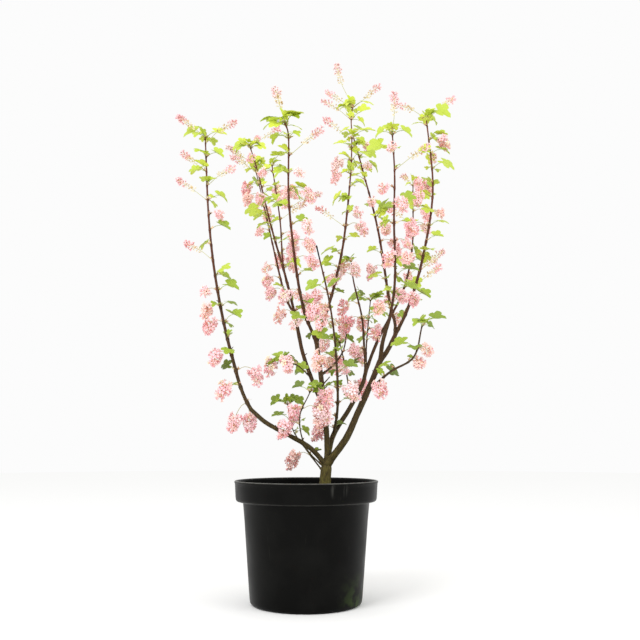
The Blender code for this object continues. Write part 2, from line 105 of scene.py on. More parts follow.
def roughen(tree, shader, height, strength, depth):
    """Roughen a surface by a height, with a bump."""
    bump = add_node(tree, "Bump", {}, {"Height": height, "Strength": strength, "Distance": depth})
    tree.links.new(bump, shader.inputs["Normal"])


def surface(name, colour, roughness, specular=0.5):
    """A material of one plain colour, with its node tree and its shader."""
    made = bpy.data.materials.new(name)
    made.use_nodes = True
    shader = made.node_tree.nodes["Principled BSDF"]
    shader.inputs["Base Color"].default_value = linear(colour)
    shader.inputs["Roughness"].default_value = roughness
    shader.inputs["Specular IOR Level"].default_value = specular
    return made, made.node_tree, shader


def shown(name, mesh, *materials):
    """A piece made of a mesh, standing at the origin."""
    piece = bpy.data.objects.new(name, mesh)
    bpy.context.scene.collection.objects.link(piece)
    for material in materials:
        mesh.materials.append(material)
    return piece


def spun(form, profile, sides):
    """Spin an outline of (radius, height) points once round the Z axis, and weld it."""
    verts = [form.verts.new((radius, 0.0, height)) for radius, height in profile]
    edges = [form.edges.new(pair) for pair in zip(verts, verts[1:])]
    bmesh.ops.spin(form, geom=verts + edges, cent=(0, 0, 0), axis=(0, 0, 1), dvec=(0, 0, 0),
                   angle=math.tau, steps=sides, use_merge=True, use_duplicate=False)
    bmesh.ops.remove_doubles(form, verts=form.verts, dist=0.00001)
    bmesh.ops.recalc_face_normals(form, faces=form.faces)


def to_mesh(name, form, smooth=True):
    """Turn a form into a mesh and free it."""
    mesh = bpy.data.meshes.new(name)
    for face in form.faces:
        face.smooth = smooth
    form.to_mesh(mesh)
    form.free()
    return mesh


STEP = POT_HEIGHT - COLLAR_DEPTH
INSIDE = [
    (0.0, WALL), (0.060, WALL), (FOOT_RADIUS - FOOT_ROUNDING, WALL), (FOOT_RADIUS - 0.0045, 0.005),
    (FOOT_RADIUS - WALL, FOOT_ROUNDING), (0.1375, 0.080), (0.1440, 0.160),
    (NECK_RADIUS - WALL, STEP - 0.001), (NECK_RADIUS - WALL + 0.001, STEP + 0.0015),
]
# The collar, up inside, over its rolled rim and lip, and down outside: millimetres in from the
# rim's radius, and up from the step.
COLLAR = [
    (10.0, 2.4), (7.2, 5.2), (5.8, 27.0), (5.2, 42.5), (5.0, 46.0), (4.3, 48.0), (3.0, 49.0),
    (1.7, 48.8), (0.6, 48.0), (0.0, 46.4), (0.2, 44.6), (1.3, 43.2), (1.9, 35.0), (2.8, 20.0),
    (3.6, 8.5), (4.2, 5.2), (5.6, 2.4), (7.8, 0.7), (10.4, 0.0),
]
OUTSIDE = [
    (NECK_RADIUS + 0.0030, STEP - 0.0004), (NECK_RADIUS + 0.0008, STEP - 0.0016),
    (NECK_RADIUS, STEP - 0.0040), (0.1470, 0.190), (0.1424, 0.130), (0.1376, 0.070),
    (FOOT_RADIUS + 0.0006, 0.016), (FOOT_RADIUS - 0.0002, FOOT_ROUNDING),
    (FOOT_RADIUS - 0.0014, 0.0048), (FOOT_RADIUS - 0.0042, 0.0014), (FOOT_RADIUS - 0.0080, 0.0),
    (0.060, 0.0), (0.0, 0.0),
]
collar = [(RIM_RADIUS - inward * MM, STEP + up * MM) for inward, up in COLLAR]

form = bmesh.new()
spun(form, INSIDE + collar + OUTSIDE, POT_SIDES)

# Moulded polypropylene is near black and satin. Its rim and lip carry a painted highlight, a grey
# band laid along each edge; its walls are a little dusty, its collar scraped in one place, and
# green algae grows low on one side.
SCRAPE = (0.075, -0.152, 0.268)
SCRAPE_REACH = (0.026, 0.014)
# Height bands, in metres, of the painted highlight along the rim's top and along the collar's lip.
RIM_HIGHLIGHT_BAND = (0.2815, 0.2835)
LIP_HIGHLIGHT_BAND = (STEP + 0.0012, 0.0014)
ALGAE_HEIGHT = (0.085, 0.010)
ALGAE_SIDE = (0.070, 0.115)

black_plastic, tree, shader = surface("moulded_polypropylene_black", "#0A0A09", 0.36, 0.075)
place = place_on(tree)
across, _, height = add_node(tree, "SeparateXYZ", {}, {"Vector": place}).node.outputs
drawn_out = add_node(tree, "Mapping", {}, {"Vector": place, "Scale": (1.0, 1.0, 0.10)})
scuffs = noise_over(tree, drawn_out, 95.0, 6.0, 0.62)
clouds = noise_over(tree, place, 13.0, 5.0)
dust = worked(tree, "ADD", spread(tree, scuffs, 0.66, 0.84, 0.08),
              spread(tree, clouds, 0.42, 0.80, 0.014))
from_scrape = add_node(tree, "VectorMath", {"operation": "DISTANCE"}, {0: place, 1: SCRAPE})
scraped = worked(tree, "MULTIPLY_ADD", spread(tree, from_scrape, *SCRAPE_REACH),
                 spread(tree, scuffs, 0.51, 0.68, 0.13), dust)
# Painted highlight: grey laid along the collar's lip and, broken up by noise, along the rim's top.
# The scuffs, dust and scrape mixed in with it are real marks.
lip = worked(tree, "MULTIPLY", worked(tree, "COMPARE", height, *LIP_HIGHLIGHT_BAND), 0.16)
edges = worked(tree, "MAXIMUM", spread(tree, height, *RIM_HIGHLIGHT_BAND, 0.75), lip)
highlight_patchiness = spread(tree, noise_over(tree, place, 70.0, 4.0), 0.34, 0.66, 0.72, 0.45)
greyed_by_highlight_and_scrapes = worked(tree, "MULTIPLY_ADD", edges, highlight_patchiness, scraped)
highlight_and_scrape_colour = laid_over(tree, greyed_by_highlight_and_scrapes, linear("#040403"), linear("#8A8983"))
algae = worked(tree, "MULTIPLY", spread(tree, height, *ALGAE_HEIGHT),
               spread(tree, across, *ALGAE_SIDE, 0.9))
algae_patch = spread(tree, noise_over(tree, place, 45.0, 8.0), 0.42, 0.60)
stained = laid_over(tree, worked(tree, "MULTIPLY", algae, algae_patch), highlight_and_scrape_colour, linear("#33421F"))
tree.links.new(stained, shader.inputs["Base Color"])
tree.links.new(spread(tree, clouds, 0.3, 0.7, 0.46, 0.28), shader.inputs["Roughness"])
roughen(tree, shader, noise_over(tree, place, 900.0, 3.0), 0.12, 0.0004)

pot = shown("nursery_pot", to_mesh("nursery_pot", form), black_plastic)
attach(pot, "root")
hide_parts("pot")

# ---------------------------------------------------------------------------------------------
# The compost is a moist peat and bark mix, pressed in to a little under the rim. Its surface is
# uneven and crumbly, with loose bark chips and crumbs lying on it. It is spun, then roughened.
COMPOST_RINGS = 46
COMPOST_SIDES = 120
COMPOST_EDGE = 0.1665
EDGE_RISE = 0.002
EDGE_BAND = 0.012
HEAP = (0.045, 0.0035)
CLOD = (0.006, 0.0016)
INSET = 0.0035
CRUMBS = 900
CRUMB_SPREAD = 0.163
CRUMB_SIZE = (0.0007, 0.0022)
CRUMB_SHAPES = (1.0, 0.7, 0.35)
CRUMB_TILT = 0.25
CRUMB_SEED = 5
PEAT, CHIP, PALE_CHIP = range(3)
CRUMB_MIX = (PEAT, PEAT, PEAT, CHIP, CHIP, PALE_CHIP)


def tinted(tree, value, stops):
    """The colour at a value among some stops, each a place and a colour."""
    tints = add_node(tree, "ValToRGB", {}, {"Fac": value})
    band = tints.node.color_ramp
    while len(band.elements) < len(stops):
        band.elements.new(0.5)
    for element, (place, colour) in zip(band.elements, stops):
        element.position = place
        element.color = linear(colour)
    return tints


def grained(name, colour, roughness, specular, scale, strength, depth):
    """A plain coloured surface with a fine rough grain."""
    made, tree, shader = surface(name, colour, roughness, specular)
    roughen(tree, shader, noise_over(tree, place_on(tree), scale), strength, depth)
    return made


def between(rng, low, high):
    """A random value from low to high."""
    return low + (high - low) * rng.random()


def lump(place, size, depth):
    """Smooth uneven height at a place, for lumps of a given size."""
    return noise.fractal(place / size, 1.0, 2.0, 4) * depth


form = bmesh.new()
profile = [(COMPOST_EDGE * i / COMPOST_RINGS, COMPOST_LEVEL) for i in range(COMPOST_RINGS + 1)]
profile += [(NECK_RADIUS - INSET, STEP - 0.002), (FOOT_RADIUS - INSET, 0.011),
            (FOOT_RADIUS - 0.012, WALL + 0.0006), (0.0, WALL + 0.0006)]
spun(form, profile, COMPOST_SIDES)
for vert in form.verts:
    if vert.co.z > COMPOST_LEVEL - 0.0001:
        from_wall = min(1.0, (COMPOST_EDGE - vert.co.xy.length) / EDGE_BAND)
        vert.co.z += (lump(vert.co, *HEAP) + lump(vert.co, *CLOD)) * from_wall
        vert.co.z += EDGE_RISE * (1.0 - from_wall)

compost_mix, tree, shader = surface("peat_and_bark_compost", "#33241A", 0.95, 0.25)
fibres = noise_over(tree, place_on(tree), 160.0, 10.0, 0.7)
tints = tinted(tree, fibres, [(0.30, "#170F0B"), (0.50, "#2E2018"), (0.66, "#463225"),
                              (0.80, "#6B5140")])
tree.links.new(tints, shader.inputs["Base Color"])
roughen(tree, shader, fibres, 0.8, 0.0015)
compost = shown("compost_bed", to_mesh("compost_bed", form), compost_mix)
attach(compost, "root")
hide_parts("compost")


def shape_of(form):
    """The arrays of a small form that is strewn many times over."""
    form.verts.index_update()
    bmesh.ops.recalc_face_normals(form, faces=form.faces)
    shape = {
        "points": numpy.array([vert.co[:] for vert in form.verts]),
        "loops": numpy.array([vert.index for face in form.faces for vert in face.verts]),
        "sizes": numpy.array([len(face.verts) for face in form.faces]),
        "slots": numpy.array([face.material_index for face in form.faces]),
    }
    form.free()
    return shape


def strewn(name, copies, *materials):
    """Join copies of small shapes, each (shape, where it stands, its materials), into one piece."""
    points, loops, sizes, slots, first = [], [], [], [], 0
    for shape, stand, dressing in copies:
        turn = numpy.array(stand)
        points.append(shape["points"] @ turn[:3, :3].T + turn[:3, 3])
        loops.append(shape["loops"] + first)
        sizes.append(shape["sizes"])
        slots.append(numpy.array(dressing)[shape["slots"]])
        first += len(shape["points"])
    points, loops = numpy.concatenate(points), numpy.concatenate(loops)
    sizes, slots = numpy.concatenate(sizes), numpy.concatenate(slots)
    mesh = bpy.data.meshes.new(name)
    mesh.vertices.add(len(points))
    mesh.vertices.foreach_set("co", points.astype(numpy.float32).ravel())
    mesh.loops.add(len(loops))
    mesh.loops.foreach_set("vertex_index", loops.astype(numpy.int32))
    mesh.polygons.add(len(sizes))
    starts = numpy.concatenate(([0], numpy.cumsum(sizes)[:-1]))
    mesh.polygons.foreach_set("loop_start", starts.astype(numpy.int32))
    mesh.polygons.foreach_set("material_index", slots.astype(numpy.int32))
    mesh.polygons.foreach_set("use_smooth", numpy.ones(len(sizes), bool))
    mesh.update(calc_edges=True)
    return shown(name, mesh, *materials)


def turned_to(axis, place, size, spin=0.0):
    """Where a small shape stands: its Z along an axis, spun about it and scaled."""
    turn = axis.to_track_quat("Z", "Y").to_matrix() @ Matrix.Rotation(spin, 3, "Z")
    return Matrix.Translation(place) @ (turn * size).to_4x4()


rng = random.Random(CRUMB_SEED)
crumb_shapes = []
for flatness in CRUMB_SHAPES:
    form = bmesh.new()
    bmesh.ops.create_icosphere(form, subdivisions=1, radius=1.0)
    for vert in form.verts:
        vert.co *= between(rng, 0.75, 1.25)
        vert.co.z *= flatness
    crumb_shapes.append(shape_of(form))
peat_crumb = grained("peat_crumb", "#2B1D14", 0.95, 0.2, 1200.0, 0.8, 0.0006)
bark_chip = grained("composted_bark_chip", "#5A4231", 0.9, 0.2, 900.0, 0.6, 0.0005)
bark_chip_pale = grained("composted_bark_chip_pale", "#8A6B50", 0.9, 0.2, 900.0, 0.6, 0.0005)
crumbs = []
for _ in range(CRUMBS):
    out = CRUMB_SPREAD * math.sqrt(rng.random())
    bearing = math.tau * rng.random()
    place = Vector((out * math.cos(bearing), out * math.sin(bearing), COMPOST_LEVEL))
    size = CRUMB_SIZE[0] + CRUMB_SIZE[1] * rng.random() ** 3
    place.z += lump(place, *HEAP) + size * 0.2
    tilts = [between(rng, -CRUMB_TILT, CRUMB_TILT) for _ in range(2)]
    crumb = rng.choice(crumb_shapes)
    stand = turned_to(Vector((*tilts, 1.0)).normalized(), place, size, math.tau * rng.random())
    crumbs.append((crumb, stand, (rng.choice(CRUMB_MIX),)))
loose_crumbs = strewn("loose_crumbs", crumbs, peat_crumb, bark_chip, bark_chip_pale)
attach(loose_crumbs, "root")

# ---------------------------------------------------------------------------------------------
# The shrub's limbs: a short trunk forks into boughs, and each bough bears long canes. Every limb
# is a smooth tapering run through its way points, as in the solids, in metres from the pot's foot.
GAP = 0.0003
TRUNK_FOOT = Vector((0.044, 0.0, COMPOST_LEVEL + GAP))
TRUNK_FORK = Vector((0.051, 0.0, 0.330))
TRUNK_RADIUS = 0.0135
FLARE_RADIUS = 0.0185
FLARE_HEIGHT = 0.022
TRUNK_RINGS = (0.0, 0.08, 0.17, 0.30, 0.45, 0.62, 0.80, 0.92, 1.0)
BOUGH_STEP = 0.032
CANE_STEP = 0.072
FORK_ROUNDING = (0.98, 0.95, 0.90, 0.83, 0.74, 0.62, 0.46, 0.25)
CURVE_POINTS = 16
BUD_SPACING = 0.040
SEED = 11

# Each limb: name, bearer, share along the bearer, millimetres thick at foot and tip, way points.
BOUGHS = [
    ("bough_centre", "trunk", 0.85, (14, 11),
     [(0.050, -0.010, 0.370), (0.045, -0.020, 0.445), (0.035, -0.020, 0.535),
      (0.025, -0.020, 0.610)]),
    ("bough_right_outer", "trunk", 0.85, (18, 13),
     [(0.095, -0.030, 0.383), (0.121, -0.050, 0.440), (0.147, -0.060, 0.497),
      (0.176, -0.060, 0.565)]),
    ("bough_right_inner", "trunk", 0.85, (14, 10),
     [(0.065, 0.020, 0.390), (0.105, 0.040, 0.455), (0.138, 0.050, 0.515), (0.147, 0.050, 0.545)]),
    ("bough_left", "trunk", 0.80, (12, 10),
     [(0.010, -0.010, 0.360), (-0.040, -0.025, 0.390), (-0.095, -0.040, 0.420),
      (-0.130, -0.050, 0.450)]),
    ("bough_centre_back", "bough_centre", 0.46, (11, 9),
     [(0.020, 0.020, 0.510), (-0.010, 0.060, 0.595), (-0.030, 0.090, 0.690)]),
    ("bough_far_right", "bough_right_outer", 1.0, (12, 10),
     [(0.195, -0.060, 0.592), (0.213, -0.050, 0.627)]),
    ("bough_upper_right", "bough_right_outer", 1.0, (11, 8),
     [(0.180, -0.090, 0.605), (0.195, -0.120, 0.660)]),
    ("bough_upper_inner", "bough_right_inner", 1.0, (9, 7),
     [(0.180, 0.080, 0.630), (0.215, 0.100, 0.695)]),
]

# Each cane has one more entry: what its buds bear, from the foot up, and last what its tip bears.
CANES = [
    ("cane_left", "bough_left", 1.0, (9.5, 3.6),
     [(-0.180, -0.055, 0.585), (-0.220, -0.050, 0.760), (-0.245, -0.030, 0.935),
      (-0.262, 0.000, 1.150)],
     "wDeD wF wleF wFsl nl wFeL wFel wfel eL wE wl el ef eLwE eE wEwL elsl eE wEeLwL"),
    ("cane_centre_front", "bough_centre", 1.0, (9, 3.4),
     [(-0.005, -0.060, 0.685), (-0.025, -0.110, 0.790), (-0.040, -0.160, 0.935),
      (-0.040, -0.190, 1.070),
      (-0.048, -0.200, 1.105)],
     "eEnl wfsL eF wF el eF eFwlnF eFel wleE eFeLnf wLef eE wLel wLeL wtelwL"),
    ("cane_centre_back", "bough_centre", 1.0, (9, 3.4),
     [(0.045, 0.000, 0.680), (0.070, 0.030, 0.770), (0.095, 0.060, 0.895), (0.115, 0.100, 1.085),
      (0.120, 0.120, 1.195)],
     "wf eLsF wF wFnl sfwl wLeF wL el wEeF ef wL el wFsl wFeL wLel wEeL"),
    ("cane_left_inner", "bough_centre_back", 1.0, (8, 3.2),
     [(-0.055, 0.100, 0.795), (-0.095, 0.120, 0.935), (-0.135, 0.130, 1.095),
      (-0.160, 0.140, 1.180)],
     "eF eF - ef nF sl wl wL sFel eF wE sf wLel wLnEeE"),
    ("cane_left_back", "bough_centre_back", 1.0, (7, 3.0),
     [(-0.060, 0.130, 0.760), (-0.090, 0.180, 0.880), (-0.130, 0.235, 1.055),
      (-0.155, 0.260, 1.160)],
     "wF nl wF wF wf nF - wf wl wfnF wFel wFnL wE wEelnL"),
    ("cane_left_middle", "bough_centre_back", 1.0, (6, 3.0),
     [(-0.045, 0.078, 0.750), (-0.062, 0.052, 0.825), (-0.070, 0.030, 0.940),
      (-0.090, 0.000, 1.075)],
     "- ef - el ef eF eE wLsF eF wf eL"),
    ("cane_far_right", "bough_far_right", 1.0, (9, 3.6),
     [(0.250, -0.040, 0.705), (0.290, -0.020, 0.835), (0.320, 0.000, 1.010), (0.310, 0.020, 1.210)],
     "- nl sFeL eE eE wFnl el elwF wLef wF wF eL eLnf eleF wl wEeLnleE"),
    ("cane_top", "bough_far_right", 1.0, (8, 3.4),
     [(0.205, 0.020, 0.740), (0.185, 0.100, 0.940), (0.145, 0.160, 1.140), (0.122, 0.180, 1.245),
      (0.125, 0.190, 1.320)],
     "- ef wf eF wl eLwF wl eF sF eL sf - wl eLsf el eF wlnL eLwE wlwEeEeL wTnL"),
    ("cane_right_front", "bough_upper_right", 1.0, (7, 3.2),
     [(0.205, -0.160, 0.745), (0.200, -0.210, 0.870), (0.200, -0.240, 0.965),
      (0.195, -0.250, 1.065)],
     "wf eL eL efsF ef eFwl wleLsF wf eE wLsf wLel sE"),
    ("cane_right_back", "bough_upper_inner", 1.0, (6.5, 3.0),
     [(0.255, 0.130, 0.775), (0.285, 0.170, 0.900), (0.295, 0.210, 1.090)],
     "- wf eL eEnf el wFnl el wEeF eF eL eLeFnE"),
    ("cane_inner", "bough_right_inner", 1.0, (7, 3.4),
     [(0.145, 0.050, 0.605), (0.140, 0.060, 0.690), (0.120, 0.070, 0.785), (0.115, 0.080, 0.840)],
     "wl wf ef wFeL wF eL wFeF wFnL"),
    ("cane_inner_back", "bough_right_inner", 1.0, (5, 3.0),
     [(0.152, 0.085, 0.615), (0.160, 0.130, 0.680), (0.170, 0.180, 0.755)],
     "- - el ef eLnF elwL"),
    ("cane_dead", "bough_right_inner", 0.30, (7.4, 3.4),
     [(0.075, -0.050, 0.465), (0.070, -0.110, 0.580), (0.055, -0.150, 0.690),
      (0.025, -0.170, 0.820)],
     "wF wF wFel wleF el wF wL wf wF wl - -"),
    ("cane_low_right", "bough_right_outer", 0.72, (7, 3.4),
     [(0.195, -0.110, 0.535), (0.245, -0.160, 0.565), (0.260, -0.200, 0.630)],
     "sFwf nl wl ef wLef eL"),
    ("twig_cross", "bough_centre", 0.74, (6, 3.0),
     [(0.070, 0.050, 0.570), (0.095, 0.100, 0.615), (0.105, 0.140, 0.680)],
     "- ef nF eF - eF"),
    ("twig_low_front", "trunk", 0.72, (4.4, 2.6),
     [(0.000, -0.030, 0.360), (-0.015, -0.070, 0.430), (0.010, -0.100, 0.490)],
     "- - - nF nFeF wleF"),
    ("twig_low_back", "trunk", 0.60, (4.4, 2.6),
     [(0.000, 0.030, 0.355), (-0.035, 0.070, 0.405), (-0.050, 0.100, 0.470)],
     "- wF - el wl wlel"),
    ("twig_middle", "bough_right_inner", 0.66, (5, 3.0),
     [(0.105, 0.070, 0.520), (0.095, 0.110, 0.585), (0.085, 0.140, 0.635)],
     "- eF eL wF wFel"),
    ("twig_left", "bough_centre_back", 0.36, (3.4, 2.4),
     [(-0.022, -0.005, 0.560), (-0.058, -0.030, 0.565)],
     "nl wl wFsFnL"),
]

SIDES = {"e": 0.0, "n": 90.0, "w": 180.0, "s": 270.0}


def curve_through(points, steps, before=None):
    """The smooth curve through some way points, in a few steps from each to the next."""
    ends = [before or 2 * points[0] - points[1]] + points + [2 * points[-1] - points[-2]]
    fine = []
    for a, b, c, d in zip(ends, ends[1:], ends[2:], ends[3:]):
        for i in range(steps):
            t = i / steps
            fine.append(0.5 * (2 * b + (c - a) * t + (2 * a - 5 * b + 4 * c - d) * t * t
                               + (3 * b - a - 3 * c + d) * t ** 3))
    return fine + [points[-1]]


def smooth_path(points, spacing, before=None):
    """Evenly spaced points on the smooth curve through some way points."""
    fine = curve_through([Vector(point) for point in points], CURVE_POINTS, before)
    lengths = [0.0]
    for a, b in zip(fine, fine[1:]):
        lengths.append(lengths[-1] + (b - a).length)
    count = max(2, round(lengths[-1] / spacing))
    path = []
    for i in range(count + 1):
        wanted = lengths[-1] * i / count
        j = next(k for k in range(1, len(lengths)) if lengths[k] >= wanted - 1e-9)
        share = (wanted - lengths[j - 1]) / (lengths[j] - lengths[j - 1])
        path.append(fine[j - 1].lerp(fine[j], share))
    return path


def path_length(path):
    """The length of a path."""
    return sum((b - a).length for a, b in zip(path, path[1:]))


def point_along(path, share):
    """The point at a share of the way along a path of even steps."""
    place = share * (len(path) - 1)
    low = min(int(place), len(path) - 2)
    return path[low].lerp(path[low + 1], place - low)


def trunk_point(share):
    """A point on the trunk's middle line, which bends a little over to one side."""
    rise = TRUNK_FORK - TRUNK_FOOT
    return TRUNK_FOOT + Vector((rise.x * share * share, 0.0, rise.z * share))


paths = {"trunk": [trunk_point(share) for share in TRUNK_RINGS]}
way_points = {}
for limb in BOUGHS + CANES:
    name, bearer, share = limb[:3]
    way_points[name] = [point_along(paths[bearer], share)] + limb[4]
    paths[name] = smooth_path(way_points[name], CANE_STEP if limb in CANES else BOUGH_STEP)

# ---------------------------------------------------------------------------------------------
# What each bud bears is drawn from the same seeded numbers as in the solids, so every leaf and
# flower cluster here grows where its solid is. One that would touch another limb is turned or
# left out.
RACEMES = {
    "F": (0.036, 0.004, 0.048, 0.0170, -58.0),
    "f": (0.024, 0.006, 0.034, 0.0120, -45.0),
    "D": (0.030, -0.030, 0.046, 0.0165, -72.0),
    "E": (0.030, 0.024, 0.068, 0.0085, 38.0),
    "T": (0.032, 0.068, 0.078, 0.0100, 63.0),
    "t": (0.012, 0.042, 0.062, 0.0100, 74.0),
}
TUFTS = {"L": (0.046, 0.031), "l": (0.037,)}
RACEME_LEAST = 0.88
RACEME_SPREAD = 0.24
HEAD_SWING = 30
HEAD_TILT = 24
HEAD_BALLS = (0.25, 0.55, 0.85)
LEAF_MIDDLE = 0.36
PETIOLE = 0.62
LEAF_LEAST = 0.85
LEAF_SPREAD = 0.30
TUFT_START = -20
TUFT_STEP = 70
LEAF_SWING = 40
PETIOLE_RISE = 40
PETIOLE_DROOP = 25
BLADE_SWING = 30
BLADE_SLOPE = 8
BLADE_DROOP = 40
BLADE_ROLL = 50
BLADE_SPACE = 0.46
LIGHT = Vector((0.0, -0.75, 0.66))
TURNS = (0.0, 35.0, -35.0, 75.0, -75.0)
BUD_SWING = 50
DRAWS = 6
LIMB_BALLS = 5
LIMB_SPACE = 0.006
STALK_SPACE = 0.002
STALK_BALL_STEP = 0.006
STALK_START = 0.35
TIP_BUD = 0.995
LAST_BUD = 0.985


def heading(azimuth, slope):
    """A unit direction from a compass angle and a slope, in degrees."""
    azimuth = math.radians(azimuth)
    slope = math.radians(slope)
    flat = math.cos(slope)
    return Vector((math.cos(azimuth) * flat, math.sin(azimuth) * flat, math.sin(slope)))


def clear_of(claims, owner, balls):
    """True where no ball of a new organ reaches another limb's or mass's space."""
    for centre, radius in balls:
        for other, place, size in claims:
            if other != owner and (centre - place).length < radius + size + GAP:
                return False
    return True


def stalk_balls(start, end):
    """Small balls along a stalk, without the first stretch beside its own limb."""
    count = max(2, int((end - start).length / STALK_BALL_STEP))
    return [(start.lerp(end, i / count), STALK_SPACE) for i in range(count + 1)
            if i / count > STALK_START]


def grow_raceme(bud, azimuth, kind, draws):
    """A flower cluster at a bud: where its stalk runs and how it hangs or rises."""
    reach, rise, length, radius, slope = RACEMES[kind]
    size = RACEME_LEAST + RACEME_SPREAD * draws[0]
    out = heading(azimuth, 0.0)
    neck = bud + out * reach * size + Vector((0, 0, rise * size))
    axis = heading(azimuth + HEAD_SWING * (draws[1] - 0.5), slope + HEAD_TILT * (draws[2] - 0.5))
    balls = stalk_balls(bud, neck)
    balls += [(neck + axis * length * size * share, radius * size) for share in HEAD_BALLS]
    return {"kind": kind, "neck": neck, "axis": axis, "length": length * size,
            "radius": radius * size, "balls": balls}


def lit_face(axis, roll):
    """The way a blade's upper side faces: to the light, but rolled about the blade's axis."""
    side = axis.cross(LIGHT).normalized()
    return Matrix.Rotation(roll, 3, axis) @ side.cross(axis)


def grow_leaf(bud, azimuth, length, order, draws):
    """A leaf at a bud: its petiole, and the way its blade points and faces."""
    size = length * (LEAF_LEAST + LEAF_SPREAD * draws[0])
    fan = azimuth + TUFT_START + TUFT_STEP * order + LEAF_SWING * (draws[1] - 0.5)
    base = bud + heading(fan, PETIOLE_RISE - PETIOLE_DROOP * order) * size * PETIOLE
    axis = heading(fan + BLADE_SWING * (draws[2] - 0.5), BLADE_SLOPE - BLADE_DROOP * draws[3])
    face = lit_face(axis, math.radians(BLADE_ROLL * (draws[4] - 0.5)))
    middle = base + axis * size * LEAF_MIDDLE
    balls = stalk_balls(bud, base) + [(middle, size * BLADE_SPACE)]
    return {"kind": "leaf", "base": base, "axis": axis, "face": face, "size": size, "balls": balls}


claims = []
for name, path in paths.items():
    for a, b in zip(path, path[1:]):
        claims += [(name, a.lerp(b, i / LIMB_BALLS), LIMB_SPACE) for i in range(LIMB_BALLS)]

organs = []
buds = []
for number, (name, *_, plan) in enumerate(CANES):
    rng = random.Random(SEED * 100 + number)
    path = paths[name]
    length = path_length(path)
    tokens = plan.split()
    for order, token in enumerate(tokens):
        is_tip = order == len(tokens) - 1
        along = (order + 0.5) * BUD_SPACING / length
        share = TIP_BUD if is_tip else min(LAST_BUD, along)
        bud = point_along(path, share)
        buds.append((name, share, is_tip, token))
        for side, kind in zip(token[0::2], token[1::2]):
            for leaf_order, leaf in enumerate(TUFTS.get(kind, (0.0,))):
                draws = [rng.random() for _ in range(DRAWS)]
                for turn in TURNS:
                    azimuth = SIDES[side] + BUD_SWING * (draws[5] - 0.5) + turn
                    if kind in TUFTS:
                        organ = grow_leaf(bud, azimuth, leaf, leaf_order, draws)
                    else:
                        organ = grow_raceme(bud, azimuth, kind, draws)
                    if clear_of(claims, name, organ["balls"]):
                        claims += [(name, centre, radius) for centre, radius in organ["balls"]]
                        organ.update(cane=name, share=share, azimuth=azimuth, order=leaf_order)
                        organs.append(organ)
                        break

# ---------------------------------------------------------------------------------------------
# The bark: olive brown and finely ridged on the trunk and boughs, red brown and smoother up the
# canes, swollen at every bud. Each limb is a flat grid rolled up round its run, then roughened.
BARK_STEP = 0.0036
BOUGH_SIDES = 18
CANE_SIDES = 12
COLLAR_SWELL = 1.30
SUNK_SHARE = 0.85
CANE_SLIMNESS = 0.93
CARRY_ON = 0.96
JOIN_REACH = 0.016
NODE_SWELL = 0.30
NODE_REACH = 0.0034
DOME = (0.99, 0.85, 0.50)


def frames_along(path):
    """A pair of cross directions at each point of a path, carried along without twisting."""
    tangents = [(b - a).normalized() for a, b in zip(path, path[1:])]
    tangents.append(tangents[-1])
    across = tangents[0].orthogonal().normalized()
    pairs = []
    for tangent in tangents:
        across = (across - tangent * across.dot(tangent)).normalized()
        pairs.append((across, tangent.cross(across)))
    return pairs


def round_ended(path, radii):
    """A run with a round end added beyond each of its two ends."""
    start = (path[0] - path[1]).normalized() * radii[0]
    end = (path[-1] - path[-2]).normalized() * radii[-1]
    shares = [math.sqrt(1.0 - out * out) for out in DOME]
    path = ([path[0] + start * out for out in DOME] + path
            + [path[-1] + end * out for out in reversed(DOME)])
    radii = ([radii[0] * share for share in shares] + radii
             + [radii[-1] * share for share in reversed(shares)])
    return path, radii


def roll_limb(form, path, radii, sides, relief, slot=0):
    """Roll a grid up into a closed limb. relief(along, angle, radius) is added to the radius."""
    layer = form.loops.layers.uv.verify()
    rows = [path[0]] + path + [path[-1]]
    radii = [0.0] + radii + [0.0]
    alongs = [0.0]
    for a, b in zip(rows, rows[1:]):
        alongs.append(alongs[-1] + (b - a).length)
    pairs = frames_along(path)
    pairs = [pairs[0]] + pairs + [pairs[-1]]
    last = len(rows) - 1
    girth = sum(radii) / last
    verts = bmesh.ops.create_grid(form, x_segments=last, y_segments=sides, size=0.5)["verts"]
    spots = {vert: (round((vert.co.x + 0.5) * last), (vert.co.y + 0.5) * math.tau)
             for vert in verts}
    for face in {face for vert in verts for face in vert.link_faces}:
        face.material_index = slot
        for loop in face.loops:
            row, angle = spots[loop.vert]
            loop[layer].uv = (angle * girth, alongs[row])
    for vert, (row, angle) in spots.items():
        radius = radii[row]
        if radius:
            radius += relief(alongs[row], angle, radius)
        across, up = pairs[row]
        vert.co = rows[row] + (across * math.cos(angle) + up * math.sin(angle)) * radius
    bmesh.ops.remove_doubles(form, verts=verts, dist=0.00002)


def rough_bark(seed, ridge, depth, run):
    """A relief of ridges: their width round the limb, their depth, and their length along it."""
    shift = Vector((seed * 7.3, seed * 3.1, seed * 5.7))

    def relief(along, angle, radius):
        round_limb = Vector((math.cos(angle), math.sin(angle))) * radius / ridge
        spot = Vector((*round_limb, along / run))
        broad = noise.noise(spot * 0.35 + shift)
        return depth * (noise.noise(spot + shift) + 0.5 * noise.noise(spot * 2.1 + shift) + broad)
    return relief


def limb_radii(path, foot, tip, start, nodes):
    """Radii down a limb, which runs on from its start's width, tapers, and swells at its buds."""
    length = path_length(path)
    last = len(path) - 1
    radii = []
    for i in range(last + 1):
        along = length * i / last
        radius = foot + (tip - foot) * i / last
        radius += (start - foot) * math.exp(-(along / JOIN_REACH) ** 2)
        for node in nodes:
            radius *= 1.0 + NODE_SWELL * math.exp(-((along - node * length) / NODE_REACH) ** 2)
        radii.append(radius)
    return radii


def girth_at(name, share):
    """A limb's radius at a share of its length."""
    foot, tip = girths[name]
    return foot + (tip - foot) * share


